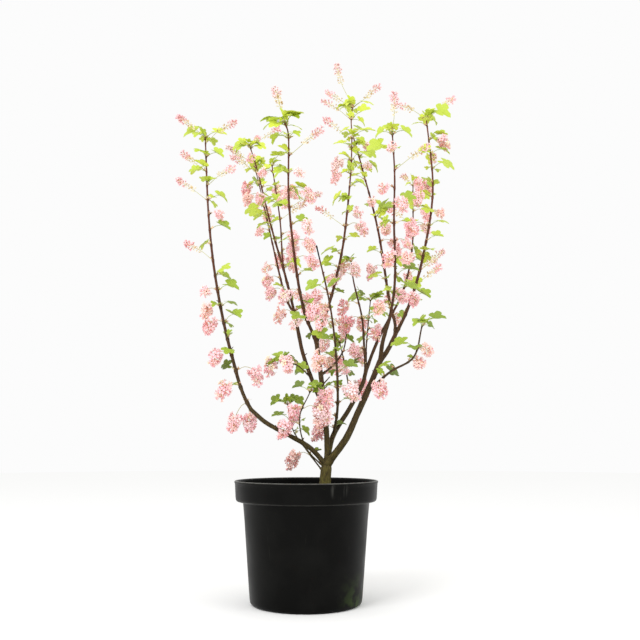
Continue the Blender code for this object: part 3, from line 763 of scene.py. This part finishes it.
def limb_run(name, bearer, share, thickness, slimness=1.0, nodes=()):
    """The fine run of a limb and its radii. At its bearer's tip it carries on from that."""
    foot, tip = girths[name] = tuple(size / 2 * MM * slimness for size in thickness)
    points = way_points[name]
    before = None
    start = min(foot * COLLAR_SWELL, girth_at(bearer, share) * SUNK_SHARE)
    if share == 1.0:
        first = Vector(points[1]) - points[0]
        onward = (paths[bearer][-1] - paths[bearer][-2]).normalized()
        before = points[0] - onward * first.length
        start = girth_at(bearer, 1.0) * CARRY_ON
    path = smooth_path(points, BARK_STEP, before)
    return path, limb_radii(path, foot, tip, start, nodes)


girths = {"trunk": (FLARE_RADIUS, TRUNK_RADIUS)}
bark, tree, shader = surface("currant_bark", "#4A3728", 0.82, 0.3)
place = place_on(tree)
height = add_node(tree, "SeparateXYZ", {}, {"Vector": place}).node.outputs["Z"]
wander = worked(tree, "MULTIPLY_ADD", noise_over(tree, place, 26.0, 4.0), 0.30, -0.15)
age = spread(tree, worked(tree, "ADD", height, wander), 0.20, 1.30)
tints = tinted(tree, age, [(0.00, "#706B2E"), (0.09, "#5A5025"), (0.20, "#473B1C"),
                           (0.38, "#4E361D"), (0.58, "#603422"), (0.80, "#703A28"),
                           (1.00, "#824735")])
drawn_out = add_node(tree, "Mapping", {}, {"Vector": place_on(tree, "UV"),
                                           "Scale": (1.0, 0.22, 1.0)})
fissures = noise_over(tree, drawn_out, 330.0, 8.0, 0.6)
fissured = laid_over(tree, spread(tree, fissures, 0.40, 0.60, 0.0, 0.62), tints, linear("#261B12"))
flakes = add_node(tree, "TexVoronoi", {}, {"Vector": drawn_out, "Scale": 420.0})
flecked = laid_over(tree, spread(tree, flakes, 0.20, 0.08, 0.45), fissured, linear("#A58B6A"))
tree.links.new(flecked, shader.inputs["Base Color"])
roughen(tree, shader, fissures, 0.6, 0.0006)
dead_bark = grained("dead_weathered_bark", "#1E1A19", 0.9, 0.25, 800.0, 0.6, 0.0006)

TRUNK_STEPS = 30
ROOT_LOBES = 3
ROOT_LOBE = 0.0018
ROOT_TURN = 0.6
TRUNK_RELIEF = (0.0042, 0.0007, 0.020)
BOUGH_RELIEF = (0.0034, 0.00045, 0.014)
CANE_RELIEF = (0.0026, 0.00018, 0.012)
SNAG_RELIEF = (0.0026, 0.0003, 0.010)
DEAD_LENGTH = 0.030
TRUNK_SIDES = 28
trunk_path = [trunk_point(i / TRUNK_STEPS) for i in range(TRUNK_STEPS + 1)]
trunk_radii = []
for place in trunk_path:
    height = (place.z - TRUNK_FOOT.z) / FLARE_HEIGHT
    trunk_radii.append(TRUNK_RADIUS + (FLARE_RADIUS - TRUNK_RADIUS) * max(0.0, 1.0 - height) ** 2)
for back, share in enumerate(FORK_ROUNDING[::-1]):
    trunk_radii[-1 - back] *= share
trunk_bark = rough_bark(1, *TRUNK_RELIEF)


def trunk_relief(along, angle, radius):
    """The trunk's bark, and the low ridges where its roots begin."""
    lobe = ROOT_LOBE * math.cos(ROOT_LOBES * angle + ROOT_TURN)
    return trunk_bark(along, angle, radius) + lobe * max(0.0, 1.0 - along / FLARE_HEIGHT)


# Dead snags left by pruning: foot, tip, and millimetres in radius at each.
SNAGS = [
    ((0.0250, -0.020, 0.604), (0.0240, -0.026, 0.690), 2.4, 1.7),
    ((0.2130, -0.050, 0.624), (0.2115, -0.060, 0.666), 2.3, 1.6),
    ((0.0395, -0.020, 0.512), (0.0560, -0.030, 0.530), 2.0, 1.3),
]
SNAG_STEPS = 12
SNAG_SIDES = 10

form = bmesh.new()
roll_limb(form, trunk_path, trunk_radii, TRUNK_SIDES, trunk_relief)
for number, (name, bearer, share, thickness, points) in enumerate(BOUGHS):
    run = round_ended(*limb_run(name, bearer, share, thickness))
    roll_limb(form, *run, BOUGH_SIDES, rough_bark(number + 2, *BOUGH_RELIEF))
for number, (foot, tip, foot_radius, tip_radius) in enumerate(SNAGS):
    shares = [i / SNAG_STEPS for i in range(SNAG_STEPS + 1)]
    path = [Vector(foot).lerp(Vector(tip), share) for share in shares]
    radii = [(foot_radius + (tip_radius - foot_radius) * share) * MM for share in shares]
    run = round_ended(path, radii)
    roll_limb(form, *run, SNAG_SIDES, rough_bark(number + 50, *SNAG_RELIEF))
bmesh.ops.recalc_face_normals(form, faces=form.faces)
boughs = shown("trunk_and_boughs", to_mesh("trunk_and_boughs", form), bark)
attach(boughs, "root")
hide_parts("trunk", *(limb[0] for limb in BOUGHS))

form = bmesh.new()
fine_paths = {}
for number, (name, bearer, where, thickness, *_) in enumerate(CANES):
    nodes = [share for owner, share, *_ in buds if owner == name]
    path, radii = limb_run(name, bearer, where, thickness, CANE_SLIMNESS, nodes)
    fine_paths[name] = path
    run = round_ended(path, radii)
    relief = rough_bark(number + 20, *CANE_RELIEF)
    roll_limb(form, *run, CANE_SIDES, relief, slot=int(name == "cane_dead"))
dead_from = paths["cane_dead"][-1].z - DEAD_LENGTH
bmesh.ops.recalc_face_normals(form, faces=form.faces)
for face in form.faces:
    if face.material_index == 1 and face.calc_center_median().z < dead_from:
        face.material_index = 0
canes = shown("cane_bark", to_mesh("cane_bark", form), bark, dead_bark)
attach(canes, "root")
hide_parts(*(limb[0] for limb in CANES))

# ---------------------------------------------------------------------------------------------
# At each bud a short spur of old wood carries the shoot, with dry bud scales and cream bracts.
# Bare buds keep their scales shut, and the old wood has some thorns. One of each is drawn up
# from rings of (radius, height) in millimetres, and copied to every place.
SPUR_SHAPE = ((1.9, 0.0), (1.6, 1.6), (1.25, 3.0), (1.35, 4.2), (0.7, 5.2))
BUD_SHAPE = ((1.1, 0.0), (1.5, 1.6), (1.2, 3.4), (0.3, 5.0))
THORN_SHAPE = ((1.5, 0.0), (1.1, 3.0), (0.95, 7.0), (0.5, 9.0))
SPUR_SIDES = 6
SPUR_SCALES = 4
SPUR_SLOPES = (38, 58)
SPUR_SIZES = (0.80, 1.25)
SPUR_TURN = 40
BUD_SCALES = 3
BUD_SLOPE = 50
BUD_SIZE = 0.9
BRACTS = 5
BRACT_LEAN = 0.9
BRACT_LIFT = 0.002
BRACT_SIZES = (0.65, 1.20)
THORNS = 3
THORN_LIMBS = ("bough_left", "bough_centre", "bough_right_outer", "bough_right_inner",
               "bough_centre_back", "cane_dead", "cane_left")
THORN_PLACES = (0.15, 0.90)
THORN_SLOPES = (20, 55)
THORN_SIZES = (0.7, 1.2)


def new_parts(grown, kind):
    """The new vertices, edges or faces that an extrusion gave."""
    return [part for part in grown if isinstance(part, kind)]


def draw_up(form, rings, sides):
    """Draw a tube up through rings. Gives the edges at its top, and the walls up to each ring."""
    radius, height = rings[0]
    verts = bmesh.ops.create_circle(form, segments=sides, radius=radius * MM,
                                    matrix=Matrix.Translation((0, 0, height * MM)))["verts"]
    edges = list({edge for vert in verts for edge in vert.link_edges})
    walls = []
    for radius, height in rings[1:]:
        grown = bmesh.ops.extrude_edge_only(form, edges=edges)["geom"]
        made = set(new_parts(grown, bmesh.types.BMVert))
        for vert in made:
            flat = vert.co.xy.normalized() * radius * MM
            vert.co = Vector((flat.x, flat.y, height * MM))
        edges = [edge for edge in new_parts(grown, bmesh.types.BMEdge)
                 if made.issuperset(edge.verts)]
        walls.append(new_parts(grown, bmesh.types.BMFace))
    return edges, walls


def drawn_bud(rings, sides):
    """A form drawn up through rings and closed at its tip."""
    form = bmesh.new()
    edges, _ = draw_up(form, rings, sides)
    bmesh.ops.edgeloop_fill(form, edges=edges)
    return form


def scale_leaf(form, length, width, bend, spin=0.0, lift=0.0):
    """One dry bud scale, in millimetres: a narrow grid pinched at its tip and bent outward."""
    verts = bmesh.ops.create_grid(form, x_segments=2, y_segments=4, size=0.5)["verts"]
    for vert in verts:
        up = vert.co.y + 0.5
        broad = width * math.sin(math.pi * min(0.97, 0.25 + 0.72 * up))
        out = 1.1 - abs(vert.co.x) * 0.8 + bend * up * up
        vert.co = Vector((vert.co.x * 2 * broad, out, up * length)) * MM
    stand = Matrix.Translation((0, 0, lift * MM)) @ Matrix.Rotation(spin, 4, "Z")
    bmesh.ops.transform(form, matrix=stand, verts=verts)
    for vert in verts:
        for face in vert.link_faces:
            face.material_index = 1


form = drawn_bud(SPUR_SHAPE, SPUR_SIDES)
for i in range(SPUR_SCALES):
    scale_leaf(form, 5.0 - 0.5 * (i % 2), 1.5, 2.2, i * math.tau / SPUR_SCALES, 3.6)
spur_shape = shape_of(form)
form = drawn_bud(BUD_SHAPE, SPUR_SIDES)
for i in range(BUD_SCALES):
    scale_leaf(form, 4.0, 1.3, 0.1, i * math.tau / BUD_SCALES, 0.6)
bud_shape = shape_of(form)
thorn_shape = shape_of(drawn_bud(THORN_SHAPE, SPUR_SIDES))
form = bmesh.new()
scale_leaf(form, 8.0, 1.5, 2.6)
bract_shape = shape_of(form)

spur_bark = grained("spur_bark", "#472C1F", 0.85, 0.3, 1100.0, 0.6, 0.0005)
dry_scale = grained("dry_bud_scale", "#B98E66", 0.7, 0.3, 1300.0, 0.4, 0.0003)
pink_scale = grained("fresh_bud_scale", "#DDAE97", 0.6, 0.3, 1300.0, 0.3, 0.0003)
cream_bract = grained("cream_bract", "#E2D3A0", 0.6, 0.3, 1300.0, 0.3, 0.0003)

SPUR_BARK, DRY, FRESH, CREAM = range(4)
spurs = []
rng = random.Random(SEED)
for name, share, _, token in buds:
    if token == "-":
        out = heading(360 * rng.random(), BUD_SLOPE)
        foot = point_along(fine_paths[name], share) + out * girth_at(name, share) * 0.8
        spurs.append((bud_shape, turned_to(out, foot, BUD_SIZE), (SPUR_BARK, DRY)))
seen = set()
for organ in organs:
    name, share = organ["cane"], organ["share"]
    key = (name, round(share, 4), round(organ["azimuth"] / SPUR_TURN))
    if organ["order"] or key in seen:
        continue
    seen.add(key)
    root, girth = point_along(fine_paths[name], share), girth_at(name, share)
    out = heading(organ["azimuth"], between(rng, *SPUR_SLOPES))
    stand = turned_to(out, root + out * girth * 0.5, between(rng, *SPUR_SIZES),
                      math.tau * rng.random())
    spurs.append((spur_shape, stand, (SPUR_BARK, rng.choice((DRY, DRY, FRESH)))))
    for _ in range(BRACTS):
        lean = out + heading(360 * rng.random(), 60 * rng.random()) * BRACT_LEAN
        lean.normalize()
        stand = turned_to(lean, root + out * girth + lean * BRACT_LIFT,
                          between(rng, *BRACT_SIZES), math.tau * rng.random())
        spurs.append((bract_shape, stand, (SPUR_BARK, rng.choice((FRESH, CREAM, CREAM)))))
for name in THORN_LIMBS:
    for _ in range(THORNS):
        share = between(rng, *THORN_PLACES)
        out = heading(360 * rng.random(), between(rng, *THORN_SLOPES))
        foot = point_along(paths[name], share) + out * girth_at(name, share) * 0.7
        stand = turned_to(out, foot, between(rng, *THORN_SIZES))
        spurs.append((thorn_shape, stand, (SPUR_BARK,)))
bud_spurs = strewn("bud_spurs", spurs, spur_bark, dry_scale, pink_scale, cream_bract)
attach(bud_spurs, "root")

# ---------------------------------------------------------------------------------------------
# Leaf blades: lobed and pleated along their veins, lime green towards the shoot tips and deeper
# lower down. A few blades are shaped from a round of faces and copied to every stalk, with
# smaller young leaves round each bud.
RIM_POINTS = 36
BASE_CUT = 150.0
BASE_NOTCH = 0.10
SEAM = 180.5
RIM_STEP = 2 * BASE_CUT / RIM_POINTS
LOBE_PROFILE = (1.00, 0.95, 0.94, 0.76)
LOBE_GAP = 7 * RIM_STEP
LOBES = ((0.0, 1.00), (LOBE_GAP, 0.92), (-LOBE_GAP, 0.92), (2 * LOBE_GAP, 0.74),
         (-2 * LOBE_GAP, 0.74))
VEIN_REACH = 30.0
PLEAT = 0.035
RIM_PLEAT = 0.4
CRUMPLE = 0.05
CRUMPLES = 2.2
BLADE_SHARE = 0.63
LEVEL_SHARE = 0.50
GROWN_SHAPES = (0, 1, 2, 3, 4)
YOUNG_SHAPES = (1, 3, 4)
YOUNG_SEED = 50
YOUNG_LENGTHS = (0.010, 0.026)
YOUNG_SLOPES = (20, 65)
YOUNG_DROOP = 55
YOUNG_SWING = 25
YOUNG_ROLL = 0.6
YOUNG_STALK = 0.006
YOUNG_AT_TIP = 4
YOUNG_ABOVE = 0.95
YOUNG_HIGH = (1, 1, 2, 2)
YOUNG_LOW = (0, 0, 1)
TINT_FOOT = 0.35
TINT_RISE = 0.95
TINT_SPREAD = 0.8
LEAF_BOW = 0.12
LEAF_STALK_RADII = (0.75, 0.55)
YOUNG_STALK_RADII = (0.50, 0.40)


def lobe_reach(turn):
    """How far the blade's rim is from its stalk at an angle off the midrib, in leaf lengths."""
    middle, length = min(LOBES, key=lambda lobe: abs(turn - lobe[0]))
    return length * LOBE_PROFILE[round(abs(turn - middle) / RIM_STEP)]


def pleat(turn, out):
    """How high the blade stands between its veins. It flattens out at the rim."""
    vein = min(abs(turn - lobe[0]) for lobe in LOBES) / VEIN_REACH
    return PLEAT * math.sin(min(1.0, vein) * math.pi / 2) * (1.0 if out < 0.9 else RIM_PLEAT)


def shape_blade(fold, cup, droop, narrow, seed):
    """One leaf blade, a length of one: base at the origin, midrib along Y, upper face to Z."""
    form = bmesh.new()
    bmesh.ops.create_circle(form, segments=RIM_POINTS, radius=1.0, cap_ends=True, cap_tris=True)
    hub = max(form.verts, key=lambda vert: len(vert.link_edges))
    bmesh.ops.subdivide_edges(form, edges=list(hub.link_edges), cuts=1)
    shift = Vector((seed * 4.7, seed * 1.9, 0.0))
    for vert in form.verts:
        if vert == hub:
            continue
        out = vert.co.length
        turn = (math.degrees(math.atan2(vert.co.x, vert.co.y)) + SEAM) % 360.0 - SEAM
        turn *= BASE_CUT / 180.0
        if abs(turn) > BASE_CUT - 1.0:
            turn, reach = 180.0, out * BASE_NOTCH
        else:
            reach = out * lobe_reach(turn)
        side = math.sin(math.radians(turn)) * reach * narrow
        ahead = math.cos(math.radians(turn)) * reach
        lift = pleat(turn, out) + fold * abs(side) - cup * (side * side + ahead * ahead)
        lift -= droop * max(0.0, ahead) ** 2
        lift += CRUMPLE * noise.noise(Vector((side, ahead, 0.0)) * CRUMPLES + shift)
        vert.co = Vector((side, ahead, lift))
    return shape_of(form)


blade_shapes = [
    shape_blade(0.22, 0.05, 0.10, 1.00, 1),
    shape_blade(0.35, 0.02, 0.22, 0.92, 2),
    shape_blade(0.10, 0.14, 0.18, 1.00, 3),
    shape_blade(0.75, 0.00, 0.12, 0.70, 4),
    shape_blade(0.50, 0.10, 0.32, 0.80, 5),
]


def leaf_tissue(name, colour):
    """Living leaf: waxy above with a soft sheen, and a fine veined roughness."""
    made, tree, shader = surface(name, colour, 0.48, 0.35)
    net = add_node(tree, "TexVoronoi", {"feature": "DISTANCE_TO_EDGE"},
                   {"Vector": place_on(tree), "Scale": 420.0})
    roughen(tree, shader, net, 0.25, 0.0006)
    return made


LEAF_COLOURS = {
    "leaf_lime_young": "#CFDC4E",
    "leaf_lime": "#B9CB46",
    "leaf_fresh_green": "#9CB23B",
    "leaf_mid_green": "#819734",
    "leaf_deep_green": "#697D2D",
}
leaf_materials = [leaf_tissue(name, colour) for name, colour in LEAF_COLOURS.items()]


def young_count(token, is_tip, height, rng):
    """How many young leaves open round a bud: most at a shoot's tip, and none at a bare bud."""
    if token == "-":
        return 0
    if is_tip:
        return YOUNG_AT_TIP
    return rng.choice(YOUNG_HIGH if height > YOUNG_ABOVE else YOUNG_LOW)


def leaf_tint(height, is_young, rng):
    """Which leaf colour a blade has: limer the higher it is, and where it is young."""
    tint = 3.7 - 3.6 * (height - TINT_FOOT) / TINT_RISE
    tint += between(rng, -TINT_SPREAD, TINT_SPREAD)
    if is_young:
        tint -= 0.6
    return max(0, min(len(LEAF_COLOURS) - 1, round(tint)))


def stalk_run(root, end, bow):
    """The points of a stalk, which bows up by a share of its length."""
    lift = Vector((0, 0, bow * (end - root).length))
    return [root, root.lerp(end, 0.5) + lift, end]


young = []
for number, (name, share, is_tip, token) in enumerate(buds):
    rng = random.Random(SEED * 1000 + YOUNG_SEED + number)
    root = point_along(fine_paths[name], share)
    for _ in range(young_count(token, is_tip, root.z, rng)):
        azimuth, slope = 360 * rng.random(), between(rng, *YOUNG_SLOPES)
        size = between(rng, *YOUNG_LENGTHS)
        base = root + heading(azimuth, slope) * (YOUNG_STALK + size * 0.5)
        azimuth += between(rng, -YOUNG_SWING, YOUNG_SWING)
        axis = heading(azimuth, slope - YOUNG_DROOP * rng.random())
        face = lit_face(axis, between(rng, -YOUNG_ROLL, YOUNG_ROLL))
        if clear_of(claims, name, [(base + axis * size * 0.5, size * 0.35)]):
            young.append({"kind": "young", "cane": name, "share": share, "base": base,
                          "axis": axis, "face": face, "size": size})

# A stalk is its points, its radii in millimetres at foot and tip, and its colour.
STALK_GREEN, STALK_PINKISH, STALK_CREAM = range(3)
leaves = []
stalks = []
rng = random.Random(SEED + 3)
for organ in [organ for organ in organs if organ["kind"] == "leaf"] + young:
    is_young = organ["kind"] == "young"
    axis = organ["axis"]
    level = LEVEL_SHARE * rng.random()
    face = organ["face"] * (1.0 - level) + Vector((0, 0, level))
    across = axis.cross(face).normalized()
    turn = Matrix((across, axis, across.cross(axis))).transposed()
    size = organ["size"] * (1.0 if is_young else BLADE_SHARE)
    base = organ["base"] + axis * (organ["size"] - size) * 0.5
    shape = blade_shapes[rng.choice(YOUNG_SHAPES if is_young else GROWN_SHAPES)]
    stand = Matrix.Translation(base) @ (turn * size).to_4x4()
    leaves.append((shape, stand, (leaf_tint(base.z, is_young, rng),)))
    run = stalk_run(point_along(fine_paths[organ["cane"]], organ["share"]), base, LEAF_BOW)
    stalks.append((run, YOUNG_STALK_RADII if is_young else LEAF_STALK_RADII, STALK_GREEN))
leaf_piece = strewn("leaf_blades", leaves, *leaf_materials)
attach(leaf_piece, "root")

# ---------------------------------------------------------------------------------------------
# Blossom: hanging clusters of small tubular flowers, each with five spreading pink sepals round
# paler petals. They get smaller up the canes, and at the shoot tips clusters stand up instead,
# small and cream at their foot. A few flowers are drawn up and copied along every cluster.
FLOWER_PARTS = 5
PETALS_FROM = 0.3
SEPAL_SLOT, TUBE_SLOT, PETAL_SLOT, OVARY_SLOT = range(4)
# Tubes are rings of (radius, height), and lobes are steps of (width, out, height), millimetres.
FLOWER_TUBE = ((0.40, 0.0), (0.50, 4.8), (1.25, 6.4), (0.95, 7.6), (1.95, 11.0))
INNER_TUBE = ((1.2, 10.4), (1.7, 11.8))
SHUT_SEPAL = ((2.1, 2.0, 13.4), (0.7, 0.9, 15.2))
OPEN_SEPAL = ((4.0, 4.4, 12.2), (2.3, 6.3, 12.4))
PETAL = ((1.3, 1.8, 14.0),)


def add_lobe(form, edge, steps, slot):
    """A sepal or petal drawn out from one edge through some steps."""
    for width, out, height in steps:
        middle = (edge.verts[0].co + edge.verts[1].co) / 2
        away = Vector((middle.x, middle.y, 0.0)).normalized()
        along = (edge.verts[1].co - edge.verts[0].co).normalized()
        grown = bmesh.ops.extrude_edge_only(form, edges=[edge])["geom"]
        verts = new_parts(grown, bmesh.types.BMVert)
        for vert in verts:
            half = math.copysign(width / 2, (vert.co - middle).dot(along)) * MM
            vert.co = away * out * MM + along * half + Vector((0, 0, height * MM))
        edge = next(edge for edge in verts[0].link_edges if edge.other_vert(verts[0]) == verts[1])
        for face in new_parts(grown, bmesh.types.BMFace):
            face.material_index = slot


def make_flower(openness):
    """A flower from shut (0) to open (1), with its stalk and ovary below its tube."""
    form = bmesh.new()
    edges, walls = draw_up(form, FLOWER_TUBE, FLOWER_PARTS)
    for wall in walls[:-1]:
        for face in wall:
            face.material_index = OVARY_SLOT
    for face in walls[-1]:
        face.material_index = TUBE_SLOT
    sepal = [Vector(shut).lerp(opened, openness) for shut, opened in zip(SHUT_SEPAL, OPEN_SEPAL)]
    for edge in edges:
        add_lobe(form, edge, sepal, SEPAL_SLOT)
    if openness > PETALS_FROM:
        inner, walls = draw_up(form, INNER_TUBE, FLOWER_PARTS)
        for face in walls[0]:
            face.material_index = PETAL_SLOT
        for edge in inner:
            add_lobe(form, edge, PETAL, PETAL_SLOT)
    return shape_of(form)


open_flower = make_flower(1.0)
opening_flower = make_flower(0.45)
flower_bud = make_flower(0.0)

# The open flowers' pinks are painted light: they are paler than the flowers' own colour, most of
# all the tube and ovary colours, which lie mostly in the clusters' shade. The pale colour stands in
# for light shining through the thin petals.
BLOSSOM_COLOURS = {
    "sepal_blush": "#FFE1E4",
    "sepal_pink": "#FFCCD3",
    "sepal_rose": "#F9B0B9",
    "sepal_cream": "#F4E7C6",
    "petal_white": "#FFF1E8",
    "ovary_cream_green": "#F2E0A6",
    "ovary_peach": "#F6C4A4",
    "bud_dusky_rose": "#CB8B88",
    "bract_tan": "#CDA874",
    "sepal_shell": "#FFD6CC",
    "sepal_salmon": "#FAB5AC",
}
blossom_materials = [grained(name, colour, 0.62, 0.25, 900.0, 0.3, 0.0004)
                     for name, colour in BLOSSOM_COLOURS.items()]
(BLUSH, PINK, ROSE, IVORY, WHITE, GREENISH, PEACH, DUSKY, TAN, SHELL,
 SALMON) = range(len(BLOSSOM_COLOURS))

# A flower's dressing: its sepals, its tube, its petals, and its ovary with its stalk.
# The tube and ovary colours dealt out here are pale pinks and peach, painted light for the places
# in shade inside each cluster.
OPEN_TINTS = ((BLUSH, PINK, WHITE, GREENISH), (PINK, ROSE, WHITE, PEACH),
              (PINK, ROSE, WHITE, GREENISH), (ROSE, ROSE, WHITE, PEACH),
              (SHELL, SALMON, WHITE, GREENISH), (PINK, SALMON, WHITE, PEACH),
              (SHELL, ROSE, WHITE, PEACH), (PINK, PINK, WHITE, GREENISH))
PALE_TINTS = ((IVORY, SHELL, WHITE, GREENISH), (BLUSH, SHELL, WHITE, GREENISH),
              (BLUSH, PINK, WHITE, PEACH))
HEAD_TINTS = ((ROSE, DUSKY, WHITE, PEACH), (PINK, DUSKY, WHITE, PEACH),
              (PINK, ROSE, WHITE, GREENISH), (BLUSH, DUSKY, WHITE, GREENISH))
STEM_TINTS = ((IVORY, IVORY, WHITE, GREENISH), (IVORY, GREENISH, WHITE, GREENISH),
              (TAN, TAN, IVORY, GREENISH))
MIXED_SHARE = 0.36
PALE_SHARE = 0.12

# Each kind of cluster: its flowers, its stem's share of its length, its sag, its flowers' size.
CLUSTERS = {
    "F": (35, 0.56, 0.10, 1.24),
    "f": (20, 0.50, 0.06, 1.10),
    "D": (33, 0.54, 0.0, 1.22),
    "E": (30, 0.80, 0.08, 0.84),
    "T": (38, 0.84, 0.0, 0.92),
    "t": (34, 0.80, 0.0, 0.92),
}
HANGING = "FfD"
FULL_BELOW = 0.50
SMALL_ABOVE = 0.80
SMALLER_BY = 0.19
GOLDEN_TURN = math.radians(137.5)
HANGING_LEANS = (-0.60, 0.10)
HANGING_SIZES = (0.66, 1.26)
OPENING_FROM = 0.80
OPENING_SHARE = 0.15
STANDING_LEANS = (0.10, 0.50)
STANDING_SIZES = (0.75, 1.15)
CREAM_BELOW = 0.56
CREAM_SIZE = 0.72
CROWDED_UP = 0.75
CLUSTER_BOW = 0.20
CLUSTER_STALK_RADII = (0.70, 0.45)
STEM_STEPS = (0.2, 0.4, 0.6, 0.8, 1.0)
CENTRE_FROM = -0.06
RIGHT_FROM = 0.13


def vigour(organ):
    """How full a cluster is: hanging clusters get smaller up the canes."""
    if organ["kind"] not in HANGING:
        return 1.0
    up = (organ["neck"].z - FULL_BELOW) / (SMALL_ABOVE - FULL_BELOW)
    return 1.0 - SMALLER_BY * min(1.0, max(0.0, up))


def stem_point(organ, share):
    """A point on a cluster's own stem, which sags a little towards its end."""
    _, stem_share, sag, _ = CLUSTERS[organ["kind"]]
    length = organ["length"]
    drop = Vector((0, 0, -sag * length * share * share))
    return organ["neck"] + organ["axis"] * length * share * stem_share * vigour(organ) + drop


def hanging_flower(share, dressing, rng):
    """How a flower at a share of a hanging cluster leans, and its shape, size and dressing."""
    lean = 1.35 * share ** 1.5 + between(rng, *HANGING_LEANS)
    is_opening = rng.random() < OPENING_SHARE or share >= OPENING_FROM
    size = (1.0 - 0.25 * share ** 3) * between(rng, *HANGING_SIZES)
    mixed = rng.random()
    if mixed < MIXED_SHARE:
        dressing = rng.choice(PALE_TINTS if mixed < PALE_SHARE else OPEN_TINTS)
    return lean, opening_flower if is_opening else open_flower, size, dressing


def standing_flower(share, dressing, rng):
    """The same for a cluster that stands up, whose lowest flowers are small and cream."""
    lean = 0.75 * share ** 3 + between(rng, *STANDING_LEANS)
    in_flower = share > CREAM_BELOW
    shape = rng.choice((opening_flower, open_flower, flower_bud))
    size = (1.0 if in_flower else CREAM_SIZE) * between(rng, *STANDING_SIZES)
    return lean, shape, size, dressing if in_flower else rng.choice(STEM_TINTS)


blossoms = {"left": [], "centre": [], "right": []}
for number, organ in enumerate(organ for organ in organs if organ["kind"] != "leaf"):
    rng = random.Random(SEED * 2000 + number)
    count, _, _, flower_size = CLUSTERS[organ["kind"]]
    flower_size *= vigour(organ)
    hanging = organ["kind"] in HANGING
    neck = organ["neck"]
    root = point_along(fine_paths[organ["cane"]], organ["share"])
    run = stalk_run(root, neck, CLUSTER_BOW if hanging else 0.0)
    run += [stem_point(organ, share) for share in STEM_STEPS]
    stalks.append((run, CLUSTER_STALK_RADII, STALK_PINKISH if hanging else STALK_CREAM))
    dressing = rng.choice(OPEN_TINTS if hanging else HEAD_TINTS)
    where = "left" if neck.x < CENTRE_FROM else ("centre" if neck.x < RIGHT_FROM else "right")
    for i in range(count):
        share = (i + between(rng, 0.3, 0.7)) / count
        if not hanging:
            share = share ** CROWDED_UP
        place = stem_point(organ, share)
        along = (stem_point(organ, min(1.0, share + 0.05)) - place).normalized()
        turn = Matrix.Rotation(i * GOLDEN_TURN + 0.5 * rng.random(), 3, along)
        out = turn @ along.orthogonal().normalized()
        habit = hanging_flower if hanging else standing_flower
        lean, shape, size, tint = habit(share, dressing, rng)
        aim = (out * math.cos(lean) + along * math.sin(lean)).normalized()
        stand = turned_to(aim, place, flower_size * size, math.tau * rng.random())
        blossoms[where].append((shape, stand, tint))
for where, copies in blossoms.items():
    piece = strewn("blossom_" + where, copies, *blossom_materials)
    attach(piece, "root")

# ---------------------------------------------------------------------------------------------
# Stalks: the thin green leaf stalks and the pinkish or cream stems of the flower clusters. Each
# is a short bowed run, given its thickness by a round bevel, and all are joined.
STALK_POINTS = 3
STALK_COLOURS = {
    "leaf_stalk_green": "#98AB45",
    "flower_stalk_pinkish": "#A99F58",
    "flower_stalk_cream": "#B9B768",
}

curve = bpy.data.curves.new("stalks", "CURVE")
curve.dimensions = "3D"
curve.bevel_depth = MM
curve.bevel_resolution = 1
curve.use_fill_caps = True
for name, colour in STALK_COLOURS.items():
    curve.materials.append(leaf_tissue(name, colour))
for points, (foot, tip), slot in stalks:
    run = curve_through(points, STALK_POINTS)
    spline = curve.splines.new("POLY")
    spline.points.add(len(run) - 1)
    spline.material_index = slot
    spline.use_smooth = True
    for i, place in enumerate(run):
        spline.points[i].co = (*place, 1.0)
        spline.points[i].radius = foot + (tip - foot) * i / (len(run) - 1)
drawn = bpy.data.objects.new("stalks", curve)
bpy.context.scene.collection.objects.link(drawn)
bpy.context.view_layer.update()
mesh = bpy.data.meshes.new_from_object(drawn.evaluated_get(bpy.context.evaluated_depsgraph_get()))
bpy.data.objects.remove(drawn)
stalk_piece = shown("leaf_and_flower_stalks", mesh)
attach(stalk_piece, "root")

# ---------------------------------------------------------------------------------------------
# The studio: a plain pale floor, soft light from all round, and two large soft lamps in front,
# the stronger one to the left. The camera stands low and looks slightly up.
FLOOR_RADIUS = 9.0
FLOOR_DROP = 0.0004
LAMP_AIM = Vector((0.0, 0.0, 0.6))
CAMERA_PLACE = (0.0329, -1.962, 0.3745)
CAMERA_TILT = 8.68

form = bmesh.new()
bmesh.ops.create_circle(form, segments=64, radius=FLOOR_RADIUS, cap_ends=True,
                        matrix=Matrix.Translation((0, 0, -FLOOR_DROP)))
floor_paint = surface("pale_studio_floor", "#FCFCFB", 0.9, 0.0)[0]
studio_floor = shown("studio_floor", to_mesh("studio_floor", form, smooth=False), floor_paint)

world = bpy.data.worlds.new("soft_daylight")
bpy.context.scene.world = world
world.use_nodes = True
sky = world.node_tree.nodes["Background"]
sky.inputs["Color"].default_value = linear("#FCFCFC")
sky.inputs["Strength"].default_value = 1.0


def add_lamp(name, place, size, power):
    """A square soft lamp that faces the plant."""
    lamp = bpy.data.lights.new(name, "AREA")
    lamp.size = size
    lamp.energy = power
    stand = bpy.data.objects.new(name, lamp)
    stand.location = place
    stand.rotation_euler = (LAMP_AIM - Vector(place)).to_track_quat("-Z", "Y").to_euler()
    bpy.context.scene.collection.objects.link(stand)


add_lamp("key_lamp", (-1.6, -2.2, 2.4), 1.4, 45.0)
add_lamp("fill_lamp", (2.2, -1.4, 1.6), 1.6, 14.0)

bpy.context.scene.view_settings.view_transform = "Standard"
lens = bpy.data.cameras.new("camera")
lens.lens = 45.0
lens.sensor_width = 36.0
camera = bpy.data.objects.new("camera", lens)
camera.location = CAMERA_PLACE
camera.rotation_euler = (math.radians(90.0 + CAMERA_TILT), 0.0, 0.0)
bpy.context.scene.collection.objects.link(camera)
bpy.context.scene.camera = camera
